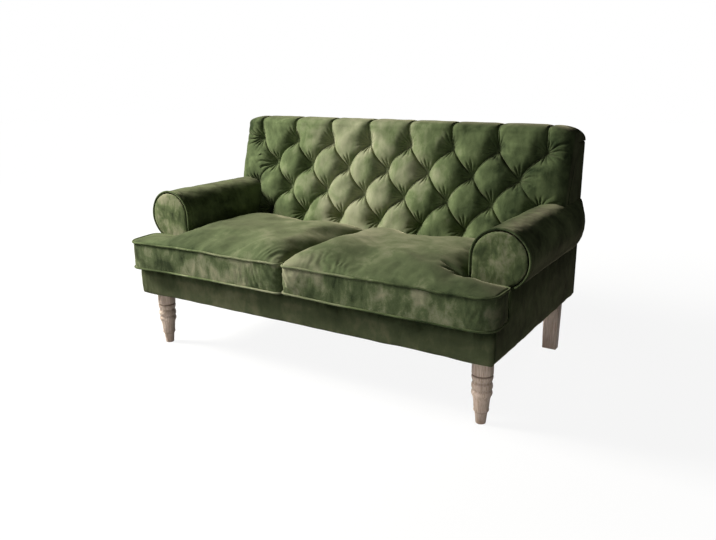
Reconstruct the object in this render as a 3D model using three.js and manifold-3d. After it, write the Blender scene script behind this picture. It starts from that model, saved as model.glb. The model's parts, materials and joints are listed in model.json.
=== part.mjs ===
// A two-seat settee in velvet: turned front legs, rolled arms, a deep-buttoned raked back
// and two loose T-shaped seat cushions that slide out forwards.
// Millimetres. X runs along the seat, the sofa faces -Y, Z is up and the floor is z = 0.
import * as THREE from 'three';
import { mergeVertices } from 'three/addons/utils/BufferGeometryUtils.js';
import Module from 'manifold-3d';

// Whole sofa
const bodyWidth = 1500; // across the outside arm panels
const overallDepth = 900; // from the cushion fronts to the outside back
const backHeight = 888; // floor to the ridge of the back
const legHeight = 225; // floor to the underside of the upholstery
const clearance = 0.3; // between pieces that touch
const overrun = 20; // how far a cutting tool passes the piece that it cuts

// Timber frame
const railThickness = 26;
const railHeight = 91;
const panelThickness = 11; // wadding and velvet over the frame
const borderThickness = 14; // padded velvet over the front rail
const borderCornerRadius = 12;
const dustCoverThickness = 1.6;
const cornerBlockSide = 96;
const cornerBlockHeight = 60;
const holeSteps = 8;
const gableThickness = 26;
const topRailThickness = 24;
const topRailDrop = 62.7; // top rail below the ridge of the back
const seatRailSetIn = 17.6; // rail behind the seat, in from the front of the gables' feet

// Legs
const frontLegRadius = 34.5;
const frontLegFromSide = 57; // leg centre in from the outside panel
const frontLegFromFront = 67; // leg centre behind the front border
const rearLegWidth = 64;
const rearLegDepth = 40;
const rearLegFromSide = 36; // leg's outer face in from the outside panel
const rearLegFromBack = 23; // leg's rear face in from the outside back
const rearBoltForward = 8; // bolt ahead of the rear leg's centre
const boltRadius = 3.9;
const boltIntoLeg = 60;
const boltNutRadius = 8;
const boltNutHeight = 7;
const legSides = 12;
// radius as a share of the leg's radius, height as a share of the leg's height
const turnedLegShares = [
  [0.47, 0],
  [0.52, 0.04],
  [0.59, 0.178],
  [0.7, 0.195],
  [0.72, 0.215],
  [0.72, 0.265],
  [0.78, 0.365],
  [0.85, 0.425],
  [0.97, 0.452],
  [0.98, 0.475],
  [0.87, 0.514],
  [0.98, 0.553],
  [0.98, 0.59],
  [0.88, 0.63],
  [0.98, 0.69],
  [1, 0.725],
  [0.92, 0.732],
  [0.92, 0.752],
  [1, 0.758],
];

// Seat platform
const springWireRadius = 1.8;
const springWidth = 50;
const springWaves = 9;
const springsPerSeat = 2;
const springSides = 5;
// a wave of the spring: share of the way along it, and share of the half width across
const springWaveShares = [
  [0.1, -1],
  [0.4, 1],
  [0.6, 1],
  [0.9, -1],
];
const deckThickness = 15.5;

// Loose seat cushions
const cushionOverhang = 47; // cushion fronts ahead of the front border
const cushionGap = 3.6; // between the two cushions
const cushionSideGap = 2.5; // between a cushion and the arm beside it
const cushionBorderHeight = 108; // bottom of the cushion to its top piping
const cushionCrown = 47; // crown above the top seam
const earCrown = 16; // crown of the ear ahead of the arm
const crownPower = 4; // how flat the crown stays before it falls to its edges
const cushionBackGap = 17; // cushion to the lower back pad, room for the zip
const earReachIn = 2; // ear's end in from the outside panel
const earBehindFront = 158; // ear's rear edge behind the cushion front
const frontCornerRadius = 58;
const earCornerRadius = 28;
const notchRadius = 8;
const backCornerRadius = 40;
const centreCornerRadius = 26;
const pipingRadius = 4.5;
const seamSetIn = 5; // piping centre in from the widest part of the border
const coverThickness = 5;
const fillingShare = 0.996; // filling's size as a share of the room in its cover
const zipLength = 470;
const zipWidth = 20;
const zipThickness = 1.6;
const zipSlotHeight = 6;
const sliderLength = 9;
const sliderHeight = 14;
const sliderThickness = 3;
const pullLength = 22;
const pullWidth = 5;
const pullThickness = 1.4;
const cornerSteps = 3;
const pipingSides = 4;
// rings of the crown, as shares of the way out from a point that sees the whole T shape
const crownShares = [0.84, 0.62, 0.36, 0.04];

// Rolled arms
const armRollRadius = 100;
const armRollHeight = 520; // floor to the roll's centre
const armRollInset = 44; // roll's centre in from the outside panel
const armPadThickness = 48;
const armBoardThickness = 25;
const armBoardDrop = 20; // top of the arm board below the roll's centre
const facingSetback = 128; // arm front behind the front border
const facingThickness = 12;
const facingBoardThickness = 18;
const facingRim = 8; // padding round the rim of the facing board
const welt = 4; // radius of the welt round the facing
const weltProud = 1.5; // welt proud of the roll
const rollTaperLength = 198; // stretch over which the roll flattens towards the back
const rollEndGap = 2; // end of the roll ahead of the outside back
const rollEndShare = 0.34; // overhang left at the end of the roll
const rollSteps = 16;
const taperSteps = 4;
const weltSides = 5;
const weltSteps = 30;

// Deep-buttoned back
const backRake = THREE.MathUtils.degToRad(15.2);
const buttonsInLongRow = 8;
const buttonRows = 4;
const lowButtonRise = 147.6; // lowest buttons above the seat deck
const topBorderHeight = 102; // top buttons below the ridge
const buttonSetback = 149; // pits of the top buttons ahead of the outside back
const pitPadThickness = 28; // pad left behind a button
const tuftDepth = 45; // pillow tops in front of the pits
const ridgeSetback = 111; // ridge ahead of the outside back
const webbingThickness = 2;
const webbingWidth = 48;
const twineRadius = 1.5;
const buttonRadius = 11;
const buttonHeight = 7;
const creaseShare = 0.5; // height of a crease halfway between two buttons
const lumbarShares = [0.15, 0.55]; // swell at the foot of the pad and above it
const lumbarReachShare = 0.68; // of a row's pitch, between the last row and that swell
const edgeShare = 0.3; // swell lost at the sides
const ridgeRiseShare = 0.62; // of the top border, for the mesh line between top row and ridge
// how far back and down the top rolls over, as shares of the way from the ridge to the rear edge
const rollOverShares = [0.58, 0.44];
const buttonSpareShare = 0.12; // button's rim above the slopes of its pit, as a share of their rise
// radius as a share of the button's radius, height as a share of the button's height
const buttonShares = [
  [0, 0],
  [1, 0],
  [1, 0.3],
  [0.62, 0.82],
  [0, 1],
];
const gridPerPitch = 2; // mesh steps from one row of buttons to the next
const buttonSides = 6;
const twineSides = 4;

// Places that follow from the sizes
const halfWidth = bodyWidth / 2;
const frontY = -overallDepth / 2;
const rearY = overallDepth / 2;
const borderFrontY = frontY + cushionOverhang;
const railFrontY = borderFrontY + borderThickness + clearance;
const railRearY = rearY - panelThickness - clearance;
const railOuterX = halfWidth - panelThickness - clearance;
const railInnerX = railOuterX - railThickness;
const frameBase = legHeight + dustCoverThickness + 2 * clearance;
const railTop = frameBase + railHeight;
const springZ = railTop + clearance + springWireRadius;
const deckBottom = springZ + springWireRadius + clearance;
const deckTop = deckBottom + deckThickness;
const facingFrontY = borderFrontY + facingSetback;
const facingBackY = facingFrontY + facingThickness;
const facingBoardFrontY = facingBackY + clearance;
const facingBoardBackY = facingBoardFrontY + facingBoardThickness;
const armCentreX = halfWidth - armRollInset;
const armInnerX = armCentreX - armRollRadius;
const weltArcRadius = armRollRadius + weltProud - welt;
const armBoardInnerX = armInnerX + armPadThickness + clearance;
const armBoardTop = armRollHeight - armBoardDrop;
const upholsteryFoot = deckTop + clearance;
const lipX = halfWidth + clearance; // inner edge of the roll's underside
const lipZ = armRollHeight - Math.sqrt(armRollRadius ** 2 - (lipX - armCentreX) ** 2);
const outsidePanelTop = lipZ - clearance;
const topButtonHeight = backHeight - topBorderHeight;
const pitY = rearY - buttonSetback;
const buttonPitch = bodyWidth / buttonsInLongRow;
const buttonDrop = topButtonHeight - deckTop - lowButtonRise; // top row to lowest row
const buttonRowPitch = buttonDrop / (buttonRows - 1) / Math.cos(backRake); // along the face
const topRailTop = backHeight - topRailDrop;
const gableTop = topRailTop - topRailThickness - clearance;
const webbingFront = -(pitPadThickness + clearance);
const gableFront = webbingFront - webbingThickness - clearance;
const seatBackRailY = faceY(gableFront, railTop + clearance) + seatRailSetIn;

const finishes = {
  velvet: { color: '#4d5f38', roughness: 0.9, metalness: 0 },
  limedWood: { color: '#a8988a', roughness: 0.6, metalness: 0 },
  frameWood: { color: '#b99a6d', roughness: 0.7, metalness: 0 },
  dustCloth: { color: '#1c1b1a', roughness: 0.95, metalness: 0 },
  deckFelt: { color: '#4a4a46', roughness: 0.95, metalness: 0 },
  foam: { color: '#e3dcc6', roughness: 0.9, metalness: 0 },
  steel: { color: '#8b8d8f', roughness: 0.4, metalness: 1 },
  zipMetal: { color: '#a08a55', roughness: 0.35, metalness: 1 },
  zipTape: { color: '#39452b', roughness: 0.9, metalness: 0 },
};

const sofa = new THREE.Group();
const rightSide = new THREE.Group();
const leftSide = new THREE.Group();
leftSide.scale.x = -1;
sofa.add(rightSide, leftSide);

const wasm = await Module();
wasm.setup();

// Solids and meshes

function add(name, geometry, finish, side = sofa) {
  const mesh = new THREE.Mesh(geometry, new THREE.MeshStandardMaterial(finish));
  mesh.name = name;
  side.add(mesh);
}

// A piece modelled on the right-hand side, and its mirror image on the left.
function addPair(name, geometry, finish) {
  add(`${name}_right`, geometry, finish, rightSide);
  add(`${name}_left`, geometry.clone(), finish, leftSide);
}

function solidOf(geometry) {
  const bare = geometry.clone();
  bare.deleteAttribute('normal');
  bare.deleteAttribute('uv');
  const merged = mergeVertices(bare);
  return new wasm.Manifold(
    new wasm.Mesh({
      numProp: 3,
      vertProperties: new Float32Array(merged.attributes.position.array),
      triVerts: new Uint32Array(merged.index.array),
    }),
  );
}

function geometryOf(solid) {
  const mesh = solid.getMesh();
  const geometry = new THREE.BufferGeometry();
  geometry.setAttribute('position', new THREE.BufferAttribute(mesh.vertProperties, 3));
  geometry.setIndex(new THREE.BufferAttribute(mesh.triVerts, 1));
  geometry.computeVertexNormals();
  return geometry;
}

function cut(geometry, ...tools) {
  const rest = tools.reduce((solid, tool) => solid.subtract(solidOf(tool)), solidOf(geometry));
  return geometryOf(rest);
}

function join(...geometries) {
  return geometryOf(geometries.map(solidOf).reduce((whole, piece) => whole.add(piece)));
}

function block(low, high) {
  const size = high.map((value, axis) => value - low[axis]);
  const middle = high.map((value, axis) => (value + low[axis]) / 2);
  return new THREE.BoxGeometry(...size).translate(...middle);
}

function extruded(points, length, holes = []) {
  const outline = points.map(([u, v]) => new THREE.Vector2(u, v));
  const shape = new THREE.Shape(THREE.ShapeUtils.isClockWise(outline) ? outline.reverse() : outline);
  shape.holes = holes;
  return new THREE.ExtrudeGeometry(shape, { depth: length, bevelEnabled: false, curveSegments: holeSteps });
}

const axisX = new THREE.Vector3(1, 0, 0);
const axisY = new THREE.Vector3(0, 1, 0);
const axisZ = new THREE.Vector3(0, 0, 1);

// An outline in the YZ plane, swept from one X to another.
function alongX(points, from, to) {
  const turn = new THREE.Matrix4().makeBasis(axisY, axisZ, axisX);
  return extruded(points, to - from).applyMatrix4(turn).translate(from, 0, 0);
}

// An outline in the XZ plane, swept from one Y to another.
function alongY(points, from, to) {
  const turn = new THREE.Matrix4().makeBasis(axisX, axisZ, axisY.clone().negate());
  return extruded(points, to - from).applyMatrix4(turn).translate(0, to, 0);
}

// An outline in the XY plane, swept from one Z to another.
function alongZ(points, from, to, holes = []) {
  return extruded(points, to - from, holes).translate(0, 0, from);
}

function roundHole(x, y, radius) {
  return new THREE.Path().absarc(x, y, radius, 0, 2 * Math.PI, true);
}

// A closed skin through rings of equally many points. Open ends are capped in the plane that
// flatten gives, and a closed loft joins its last ring to its first. Of the two ways to split a
// face, the one whose middle has the larger depth is taken.
function loft(rings, { flatten, closed = false, depth = () => 0 }) {
  const count = rings[0].length;
  const at = (ring, i) => (ring % rings.length) * count + (i % count);
  const points = rings.flat();
  const faces = [];
  for (let ring = 0; ring < rings.length - (closed ? 0 : 1); ring += 1) {
    for (let i = 0; i < count; i += 1) {
      const [a, b, c, d] = [at(ring, i), at(ring, i + 1), at(ring + 1, i + 1), at(ring + 1, i)];
      const across = depth(points[a]) + depth(points[c]) >= depth(points[b]) + depth(points[d]);
      faces.push(...(across ? [a, b, c, a, c, d] : [a, b, d, b, c, d]));
    }
  }
  if (!closed) {
    for (const [ring, end] of [[0, false], [rings.length - 1, true]]) {
      const contour = rings[ring].map(flatten);
      const cap = THREE.ShapeUtils.triangulateShape(contour, []);
      const area = cap.reduce((sum, face) => sum + THREE.ShapeUtils.area(face.map((i) => contour[i])), 0);
      const sameTurn = area * THREE.ShapeUtils.area(contour) > 0;
      for (const [a, b, c] of cap) {
        const [p, q, r] = [at(ring, a), at(ring, b), at(ring, c)];
        faces.push(...(sameTurn === end ? [p, q, r] : [p, r, q]));
      }
    }
  }
  let volume = 0;
  for (let f = 0; f < faces.length; f += 3) {
    const [a, b, c] = [points[faces[f]], points[faces[f + 1]], points[faces[f + 2]]];
    volume += a.dot(b.clone().cross(c));
  }
  const geometry = new THREE.BufferGeometry().setFromPoints(points);
  geometry.setIndex(volume < 0 ? faces.reverse() : faces);
  geometry.computeVertexNormals();
  return geometry;
}

// A round bead along a loop or an open line that lies in the plane square to a direction.
function bead(line, square, radius, sides, closed = false) {
  const count = line.length;
  const sideways = line.map((_, i) => {
    const before = line[closed ? (i + count - 1) % count : Math.max(i - 1, 0)];
    const after = line[closed ? (i + 1) % count : Math.min(i + 1, count - 1)];
    return after.clone().sub(before).cross(square).normalize();
  });
  const rings = line.map((point, i) =>
    Array.from({ length: sides }, (_, k) => {
      const angle = (2 * Math.PI * k) / sides;
      const out = sideways[i].clone().multiplyScalar(radius * Math.cos(angle));
      return point.clone().add(out).addScaledVector(square, radius * Math.sin(angle));
    }),
  );
  const flatten = (p) => new THREE.Vector2(p.dot(sideways[0]), p.dot(square));
  return loft(rings, { flatten, closed });
}

// Timber frame

function addFrame() {
  const { frameWood } = finishes;
  const frontRailBackY = railFrontY + railThickness;
  const backRailFrontY = railRearY - railThickness;
  const rail = (x0, y0, x1, y1) => block([x0, y0, frameBase], [x1, y1, railTop]);
  add('front_rail', rail(-railOuterX, railFrontY, railOuterX, frontRailBackY), frameWood);
  add('back_rail', rail(-railOuterX, backRailFrontY, railOuterX, railRearY), frameWood);
  addPair(
    'side_rail',
    rail(railInnerX, frontRailBackY + clearance, railOuterX, backRailFrontY - clearance),
    frameWood,
  );
  const seatRailX = railInnerX - clearance;
  add(
    'seat_back_rail',
    rail(-seatRailX, seatBackRailY, seatRailX, seatBackRailY + railThickness),
    frameWood,
  );
  add(
    'centre_rail',
    rail(-gableThickness / 2, frontRailBackY + clearance, gableThickness / 2, seatBackRailY - clearance),
    frameWood,
  );
  addGables(frameWood);
  add(
    'top_rail',
    block(
      [-railOuterX, faceY(gableFront, topRailTop), topRailTop - topRailThickness],
      [railOuterX, railRearY, topRailTop],
    ),
    frameWood,
  );
}

// Point on the raked face: a distance up the face from the top buttons, and one out in front.
function facePoint(x, up, out) {
  return new THREE.Vector3(
    x,
    pitY + up * Math.sin(backRake) - out * Math.cos(backRake),
    topButtonHeight + up * Math.cos(backRake) + out * Math.sin(backRake),
  );
}

// Y at a height, on the raked plane that lies a distance out in front of the pits.
function faceY(out, z) {
  return pitY - out / Math.cos(backRake) + (z - topButtonHeight) * Math.tan(backRake);
}

function addGables(finish) {
  const foot = railTop + clearance;
  const outline = [
    [faceY(gableFront, foot), foot],
    [railRearY, foot],
    [railRearY, gableTop],
    [faceY(gableFront, gableTop), gableTop],
  ];
  add('back_gable_centre', alongX(outline, -gableThickness / 2, gableThickness / 2), finish);
  addPair('back_gable', alongX(outline, railOuterX - gableThickness, railOuterX), finish);
}

// Legs, with the bolts and corner blocks that hold them

const frontLeg = { x: halfWidth - frontLegFromSide, y: borderFrontY + frontLegFromFront };
const rearLeg = {
  x: halfWidth - rearLegFromSide - rearLegWidth / 2,
  y: rearY - rearLegFromBack - rearLegDepth / 2,
};
const rearBolt = { x: rearLeg.x, y: rearLeg.y - rearBoltForward };
const legTop = frameBase - clearance;
const boreRadius = boltRadius + clearance;
const boreFoot = legTop - boltIntoLeg;

// A profile of radii and heights, turned about an upright axis.
function turned(profile, { x, y }) {
  const points = profile.map(([radius, height]) => new THREE.Vector2(radius, height));
  return new THREE.LatheGeometry(points, legSides).rotateX(Math.PI / 2).translate(x, y, 0);
}

function turnedLeg() {
  const outside = turnedLegShares.map(([radius, height]) => [radius * frontLegRadius, height * legHeight]);
  const top = [
    [frontLegRadius, legTop],
    [boreRadius, legTop],
    [boreRadius, boreFoot],
    [0, boreFoot],
  ];
  return turned([[0, 0], ...outside, ...top], frontLeg);
}

function plankLeg() {
  const plank = block(
    [rearLeg.x - rearLegWidth / 2, rearLeg.y - rearLegDepth / 2, 0],
    [rearLeg.x + rearLegWidth / 2, rearLeg.y + rearLegDepth / 2, legTop],
  );
  const depth = boltIntoLeg + overrun;
  const bore = new THREE.CylinderGeometry(boreRadius, boreRadius, depth, legSides).rotateX(Math.PI / 2);
  return cut(plank, bore.translate(rearBolt.x, rearBolt.y, boreFoot + depth / 2));
}

function cornerBlock(bolt, cornerY, inwards) {
  const outline = [
    [railInnerX - clearance, cornerY],
    [railInnerX - clearance - cornerBlockSide, cornerY],
    [railInnerX - clearance, cornerY + inwards * cornerBlockSide],
  ];
  return alongZ(outline, frameBase, frameBase + cornerBlockHeight, [roundHole(bolt.x, bolt.y, boreRadius)]);
}

function legBolt(place) {
  const seat = frameBase + cornerBlockHeight + clearance;
  const profile = [
    [0, boreFoot + clearance],
    [boltRadius, boreFoot + clearance],
    [boltRadius, seat],
    [boltNutRadius, seat],
    [boltNutRadius, seat + boltNutHeight],
    [0, seat + boltNutHeight],
  ];
  return turned(profile, place);
}

function addLegs() {
  const { limedWood, frameWood, steel } = finishes;
  addPair('front_leg', turnedLeg(), limedWood);
  addPair('rear_leg', plankLeg(), limedWood);
  const frontCornerY = railFrontY + railThickness + clearance;
  const rearCornerY = railRearY - railThickness - clearance;
  addPair('front_corner_block', cornerBlock(frontLeg, frontCornerY, 1), frameWood);
  addPair('rear_corner_block', cornerBlock(rearBolt, rearCornerY, -1), frameWood);
  addPair('front_leg_bolt', legBolt(frontLeg), steel);
  addPair('rear_leg_bolt', legBolt(rearBolt), steel);
}

// Seat platform: zigzag springs, felt deck, dust cover and front border

function zigzagSpring(x) {
  const start = railFrontY + railThickness / 2;
  const end = seatBackRailY + railThickness / 2;
  const wave = (end - start) / springWaves;
  const line = [new THREE.Vector3(x - springWidth / 2, start, springZ)];
  for (let i = 0; i < springWaves; i += 1) {
    for (const [along, across] of springWaveShares) {
      line.push(new THREE.Vector3(x + (across * springWidth) / 2, start + (i + along) * wave, springZ));
    }
  }
  line.push(new THREE.Vector3(x - springWidth / 2, end, springZ));
  return bead(line, axisZ, springWireRadius, springSides);
}

function addSeatPlatform() {
  const { steel, deckFelt, dustCloth, velvet } = finishes;
  const bay = railInnerX / springsPerSeat;
  for (let i = 0; i < springsPerSeat; i += 1) {
    addPair(`seat_spring_${i + 1}`, zigzagSpring((i + 1 / 2) * bay), steel);
  }
  const wideX = railOuterX;
  const narrowX = railInnerX - clearance;
  const deckFrontY = railFrontY;
  const deckStepY = facingFrontY - clearance;
  const deckBackY = faceY(gableFront, deckBottom) - clearance;
  const deck = [
    [-wideX, deckFrontY],
    [wideX, deckFrontY],
    [wideX, deckStepY],
    [narrowX, deckStepY],
    [narrowX, deckBackY],
    [-narrowX, deckBackY],
    [-narrowX, deckStepY],
    [-wideX, deckStepY],
  ];
  add('seat_deck', alongZ(deck, deckBottom, deckTop), deckFelt);
  add('dust_cover', dustCover(), dustCloth);
  add('front_border', frontBorder(), velvet);
}

function dustCover() {
  const low = legHeight + clearance;
  const high = low + dustCoverThickness;
  const sheet = block([-railOuterX, railFrontY, low], [railOuterX, railRearY, high]);
  const holeRadius = (frontLegRadius + clearance) / Math.cos(Math.PI / legSides);
  const halfX = rearLegWidth / 2 + clearance;
  const halfY = rearLegDepth / 2 + clearance;
  const holes = [-1, 1].flatMap((side) => [
    new THREE.CylinderGeometry(holeRadius, holeRadius, overrun, legSides)
      .rotateX(Math.PI / 2)
      .translate(side * frontLeg.x, frontLeg.y, low),
    block(
      [side * rearLeg.x - halfX, rearLeg.y - halfY, low - overrun],
      [side * rearLeg.x + halfX, rearLeg.y + halfY, high + overrun],
    ),
  ]);
  return cut(sheet, ...holes);
}

function frontBorder() {
  const backY = borderFrontY + borderThickness;
  const outline = [[-halfWidth, backY]];
  for (const side of [-1, 1]) {
    for (let i = 0; i <= cornerSteps; i += 1) {
      const turn = (Math.PI / 2) * (side < 0 ? i / cornerSteps : 1 - i / cornerSteps);
      outline.push([
        side * (halfWidth - borderCornerRadius * (1 - Math.cos(turn))),
        borderFrontY + borderCornerRadius * (1 - Math.sin(turn)),
      ]);
    }
  }
  outline.push([halfWidth, backY]);
  return alongZ(outline, legHeight, deckTop);
}

// Outside panels: the side panel covers the rails, the lower arm and the side of the back

function addOutsidePanels() {
  const { velvet } = finishes;
  const frontEdgeY = railFrontY;
  const sideOutline = [
    [frontEdgeY, legHeight],
    [railRearY, legHeight],
    [railRearY, topRailTop],
    [faceY(webbingFront, topRailTop), topRailTop],
    [faceY(webbingFront, outsidePanelTop), outsidePanelTop],
    [facingFrontY, outsidePanelTop],
    [facingFrontY, deckTop],
    [frontEdgeY, deckTop],
  ];
  addPair('outside_side_panel', alongX(sideOutline, halfWidth - panelThickness, halfWidth), velvet);
  add(
    'outside_back_panel',
    block([-halfWidth, rearY - panelThickness, legHeight], [halfWidth, rearY, topRailTop]),
    velvet,
  );
}

// Rolled arms

// The roll seen from the front: from its inner side over the top and under to an angle.
function rollArc(radius, endX) {
  const endAngle = -Math.acos((endX - armCentreX) / radius);
  return Array.from({ length: rollSteps + 1 }, (_, i) => {
    const angle = Math.PI + ((endAngle - Math.PI) * i) / rollSteps;
    return [armCentreX + radius * Math.cos(angle), armRollHeight + radius * Math.sin(angle)];
  });
}

// The board or facing on the arm's front: the roll with its stump down to the seat.
function facingOutline(radius, outerX, foot) {
  return [[armCentreX - radius, foot], ...rollArc(radius, outerX), [outerX, foot]];
}

function armPad() {
  const cavityTop = armBoardTop + clearance;
  const section = [
    [armInnerX, upholsteryFoot],
    ...rollArc(armRollRadius, lipX),
    [railOuterX + clearance, lipZ],
    [railOuterX + clearance, cavityTop],
    [armInnerX + armPadThickness, cavityTop],
    [armInnerX + armPadThickness, upholsteryFoot],
  ];
  const endY = rearY - rollEndGap;
  const stations = [facingBoardFrontY];
  for (let i = 0; i <= taperSteps; i += 1) stations.push(endY - rollTaperLength * (1 - i / taperSteps));
  const rings = stations.map((y) => {
    const along = Math.max(0, 1 - (endY - y) / rollTaperLength);
    const overhang = 1 - (1 - rollEndShare) * along ** 2;
    return section.map(([x, z]) => new THREE.Vector3(x > lipX ? lipX + (x - lipX) * overhang : x, y, z));
  });
  const roll = loft(rings, { flatten: (p) => new THREE.Vector2(p.x, p.z) });
  const boardRadius = armRollRadius - facingRim + clearance;
  const board = alongY(
    facingOutline(boardRadius, railOuterX + clearance, frameBase),
    facingBoardFrontY - overrun,
    facingBoardBackY + clearance,
  );
  const toPad = tuftDepth + clearance;
  const back = alongX(
    [
      [faceY(toPad, railTop), railTop],
      [rearY + overrun, railTop],
      [rearY + overrun, topRailTop],
      [faceY(toPad, topRailTop), topRailTop],
    ],
    0,
    lipX,
  );
  return cut(roll, board, back);
}

function facingBoard() {
  const radius = armRollRadius - facingRim;
  const foot = railTop + clearance;
  const outline = [
    [armCentreX - radius, upholsteryFoot],
    ...rollArc(radius, railOuterX),
    [railOuterX, foot],
    [railInnerX, foot],
    [railInnerX, upholsteryFoot],
  ];
  return alongY(outline, facingBoardFrontY, facingBoardBackY);
}

// The board under the roll runs through a notch in the back pad, up to the webbing on the gable.
function armBoard(spare, side = 1) {
  const foot = armBoardTop - armBoardThickness;
  const ends = [side * (armBoardInnerX - spare), side * (railOuterX + spare)].sort((a, b) => a - b);
  const backY = faceY(webbingFront, foot) - clearance;
  return block(
    [ends[0], facingBoardBackY + clearance - spare, foot - spare],
    [ends[1], backY + spare, armBoardTop + spare],
  );
}

function armWelt() {
  const radius = weltArcRadius;
  const endX = lipX + 2 * welt;
  const y = facingBackY - welt - clearance;
  const line = [[armCentreX - radius, upholsteryFoot + welt], ...rollArc(radius, endX)];
  const path = new THREE.CurvePath();
  for (let i = 0; i + 1 < line.length; i += 1) {
    const [from, to] = [line[i], line[i + 1]].map(([x, z]) => new THREE.Vector3(x, y, z));
    path.add(new THREE.LineCurve3(from, to));
  }
  return bead(path.getSpacedPoints(weltSteps), axisY, welt, weltSides);
}

function addArms() {
  const { velvet, frameWood } = finishes;
  addPair('arm_pad', armPad(), velvet);
  addPair('arm_facing_board', facingBoard(), frameWood);
  // the welt's straight stretches dip this far inside its arc
  const dip = armRollRadius * (1 - Math.cos((3 * Math.PI) / 4 / rollSteps));
  const facingRadius = weltArcRadius - welt - clearance - dip;
  const facing = facingOutline(facingRadius, railOuterX, upholsteryFoot);
  addPair('arm_facing', alongY(facing, facingFrontY, facingBackY), velvet);
  addPair('arm_welt', armWelt(), velvet);
  addPair('arm_board', armBoard(0), frameWood);
}

// Deep-buttoned back

// Buttons lie in rows of eight and seven, each row half a pitch across from the one above.
const buttons = [];
for (let row = 0; row < buttonRows; row += 1) {
  const count = buttonsInLongRow - (row % 2);
  for (let i = 0; i < count; i += 1) {
    buttons.push({ row, x: (i - (count - 1) / 2) * buttonPitch, up: -row * buttonRowPitch });
  }
}

// Creases run from button to button aslant, up from the top row and down from the last.
const creases = [];
for (const from of buttons) {
  for (const to of buttons) {
    const beside = Math.abs(Math.abs(to.x - from.x) - buttonPitch / 2) < clearance;
    if (to.row === from.row + 1 && beside) creases.push([from, to]);
  }
  if (from.row === 0) creases.push([from, { x: from.x, up: from.up + buttonRowPitch }]);
  if (from.row === buttonRows - 1) creases.push([from, { x: from.x, up: from.up - buttonRowPitch }]);
}

function distanceToCrease(x, up, [from, to]) {
  const line = { x: to.x - from.x, up: to.up - from.up };
  const along = ((x - from.x) * line.x + (up - from.up) * line.up) / (line.x ** 2 + line.up ** 2);
  const share = Math.min(1, Math.max(0, along));
  return Math.hypot(x - from.x - share * line.x, up - from.up - share * line.up);
}

// How far the velvet stands in front of the pits.
function tuftHeight(x, up) {
  const toCrease = Math.min(...creases.map((crease) => distanceToCrease(x, up, crease)));
  const toButton = Math.min(...buttons.map((button) => Math.hypot(x - button.x, up - button.up)));
  const reach = (buttonPitch * buttonRowPitch) / 2 / Math.hypot(buttonPitch / 2, buttonRowPitch);
  const swell = Math.min(1, toCrease / reach);
  const crease = creaseShare * Math.min(1, (2 * toButton) / buttonPitch);
  const pastSide = Math.max(0, (2 * (Math.abs(x) - halfWidth)) / buttonPitch + 1);
  const topShare = 1 - (Math.max(0, up) / (topBorderHeight / Math.cos(backRake))) ** 2;
  const pillow = crease + (1 - crease) * Math.sqrt(swell * (2 - swell));
  return tuftDepth * pillow * (1 - edgeShare * pastSide ** 2) * topShare;
}

function backPadRing(x) {
  const lastRow = -(buttonRows - 1) * buttonRowPitch;
  const step = buttonRowPitch / gridPerPitch;
  const ring = [new THREE.Vector3(x, faceY(lumbarShares[0] * tuftDepth, upholsteryFoot), upholsteryFoot)];
  ring.push(facePoint(x, lastRow - lumbarReachShare * buttonRowPitch, lumbarShares[1] * tuftDepth));
  for (let i = 0; i <= (buttonRows - 1) * gridPerPitch; i += 1) {
    const up = lastRow + i * step;
    ring.push(facePoint(x, up, tuftHeight(x, up)));
  }
  const rise = ridgeRiseShare * topBorderHeight;
  ring.push(facePoint(x, rise, tuftHeight(x, rise)));
  const ridgeY = rearY - ridgeSetback;
  ring.push(new THREE.Vector3(x, ridgeY, backHeight));
  const overY = ridgeY + rollOverShares[0] * ridgeSetback;
  ring.push(new THREE.Vector3(x, overY, backHeight - rollOverShares[1] * topRailDrop));
  const shelf = topRailTop + clearance;
  ring.push(new THREE.Vector3(x, rearY, shelf));
  ring.push(new THREE.Vector3(x, faceY(-pitPadThickness, shelf), shelf));
  ring.push(new THREE.Vector3(x, faceY(-pitPadThickness, upholsteryFoot), upholsteryFoot));
  return ring;
}

function twine(button, radius, from, to) {
  const length = to - from;
  const stem = new THREE.CylinderGeometry(radius, radius, length, twineSides);
  return ontoFace(stem.translate(0, (from + to) / 2, 0), button);
}

// Stands a piece that points along its own Y on the raked face at a button.
function ontoFace(geometry, button) {
  const outwards = new THREE.Vector3(0, -Math.cos(backRake), Math.sin(backRake));
  const turn = new THREE.Matrix4().makeBasis(axisX, outwards, axisX.clone().cross(outwards));
  const foot = facePoint(button.x, button.up, 0);
  return geometry.applyMatrix4(turn).translate(foot.x, foot.y, foot.z);
}

function backPad() {
  const columns = 2 * gridPerPitch * buttonsInLongRow;
  const rings = [];
  for (let i = 0; i <= columns; i += 1) rings.push(backPadRing(-halfWidth + (i * bodyWidth) / columns));
  const pad = loft(rings, { flatten: (p) => new THREE.Vector2(p.y, p.z), depth: (p) => p.y });
  const holes = buttons.map((button) =>
    twine(button, twineRadius + clearance, -(pitPadThickness + overrun), overrun),
  );
  // below the rolls the pad stops inside the outside panels
  const panelInnerX = halfWidth - panelThickness - clearance;
  const besidePanels = [-halfWidth - overrun, panelInnerX].map((x) => {
    const farX = x + panelThickness + clearance + overrun;
    return block([x, frontY, railTop], [farX, rearY, outsidePanelTop + clearance]);
  });
  const roundArmBoards = [-1, 1].map((side) => armBoard(clearance, side));
  return cut(pad, ...holes, ...besidePanels, ...roundArmBoards);
}

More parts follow.
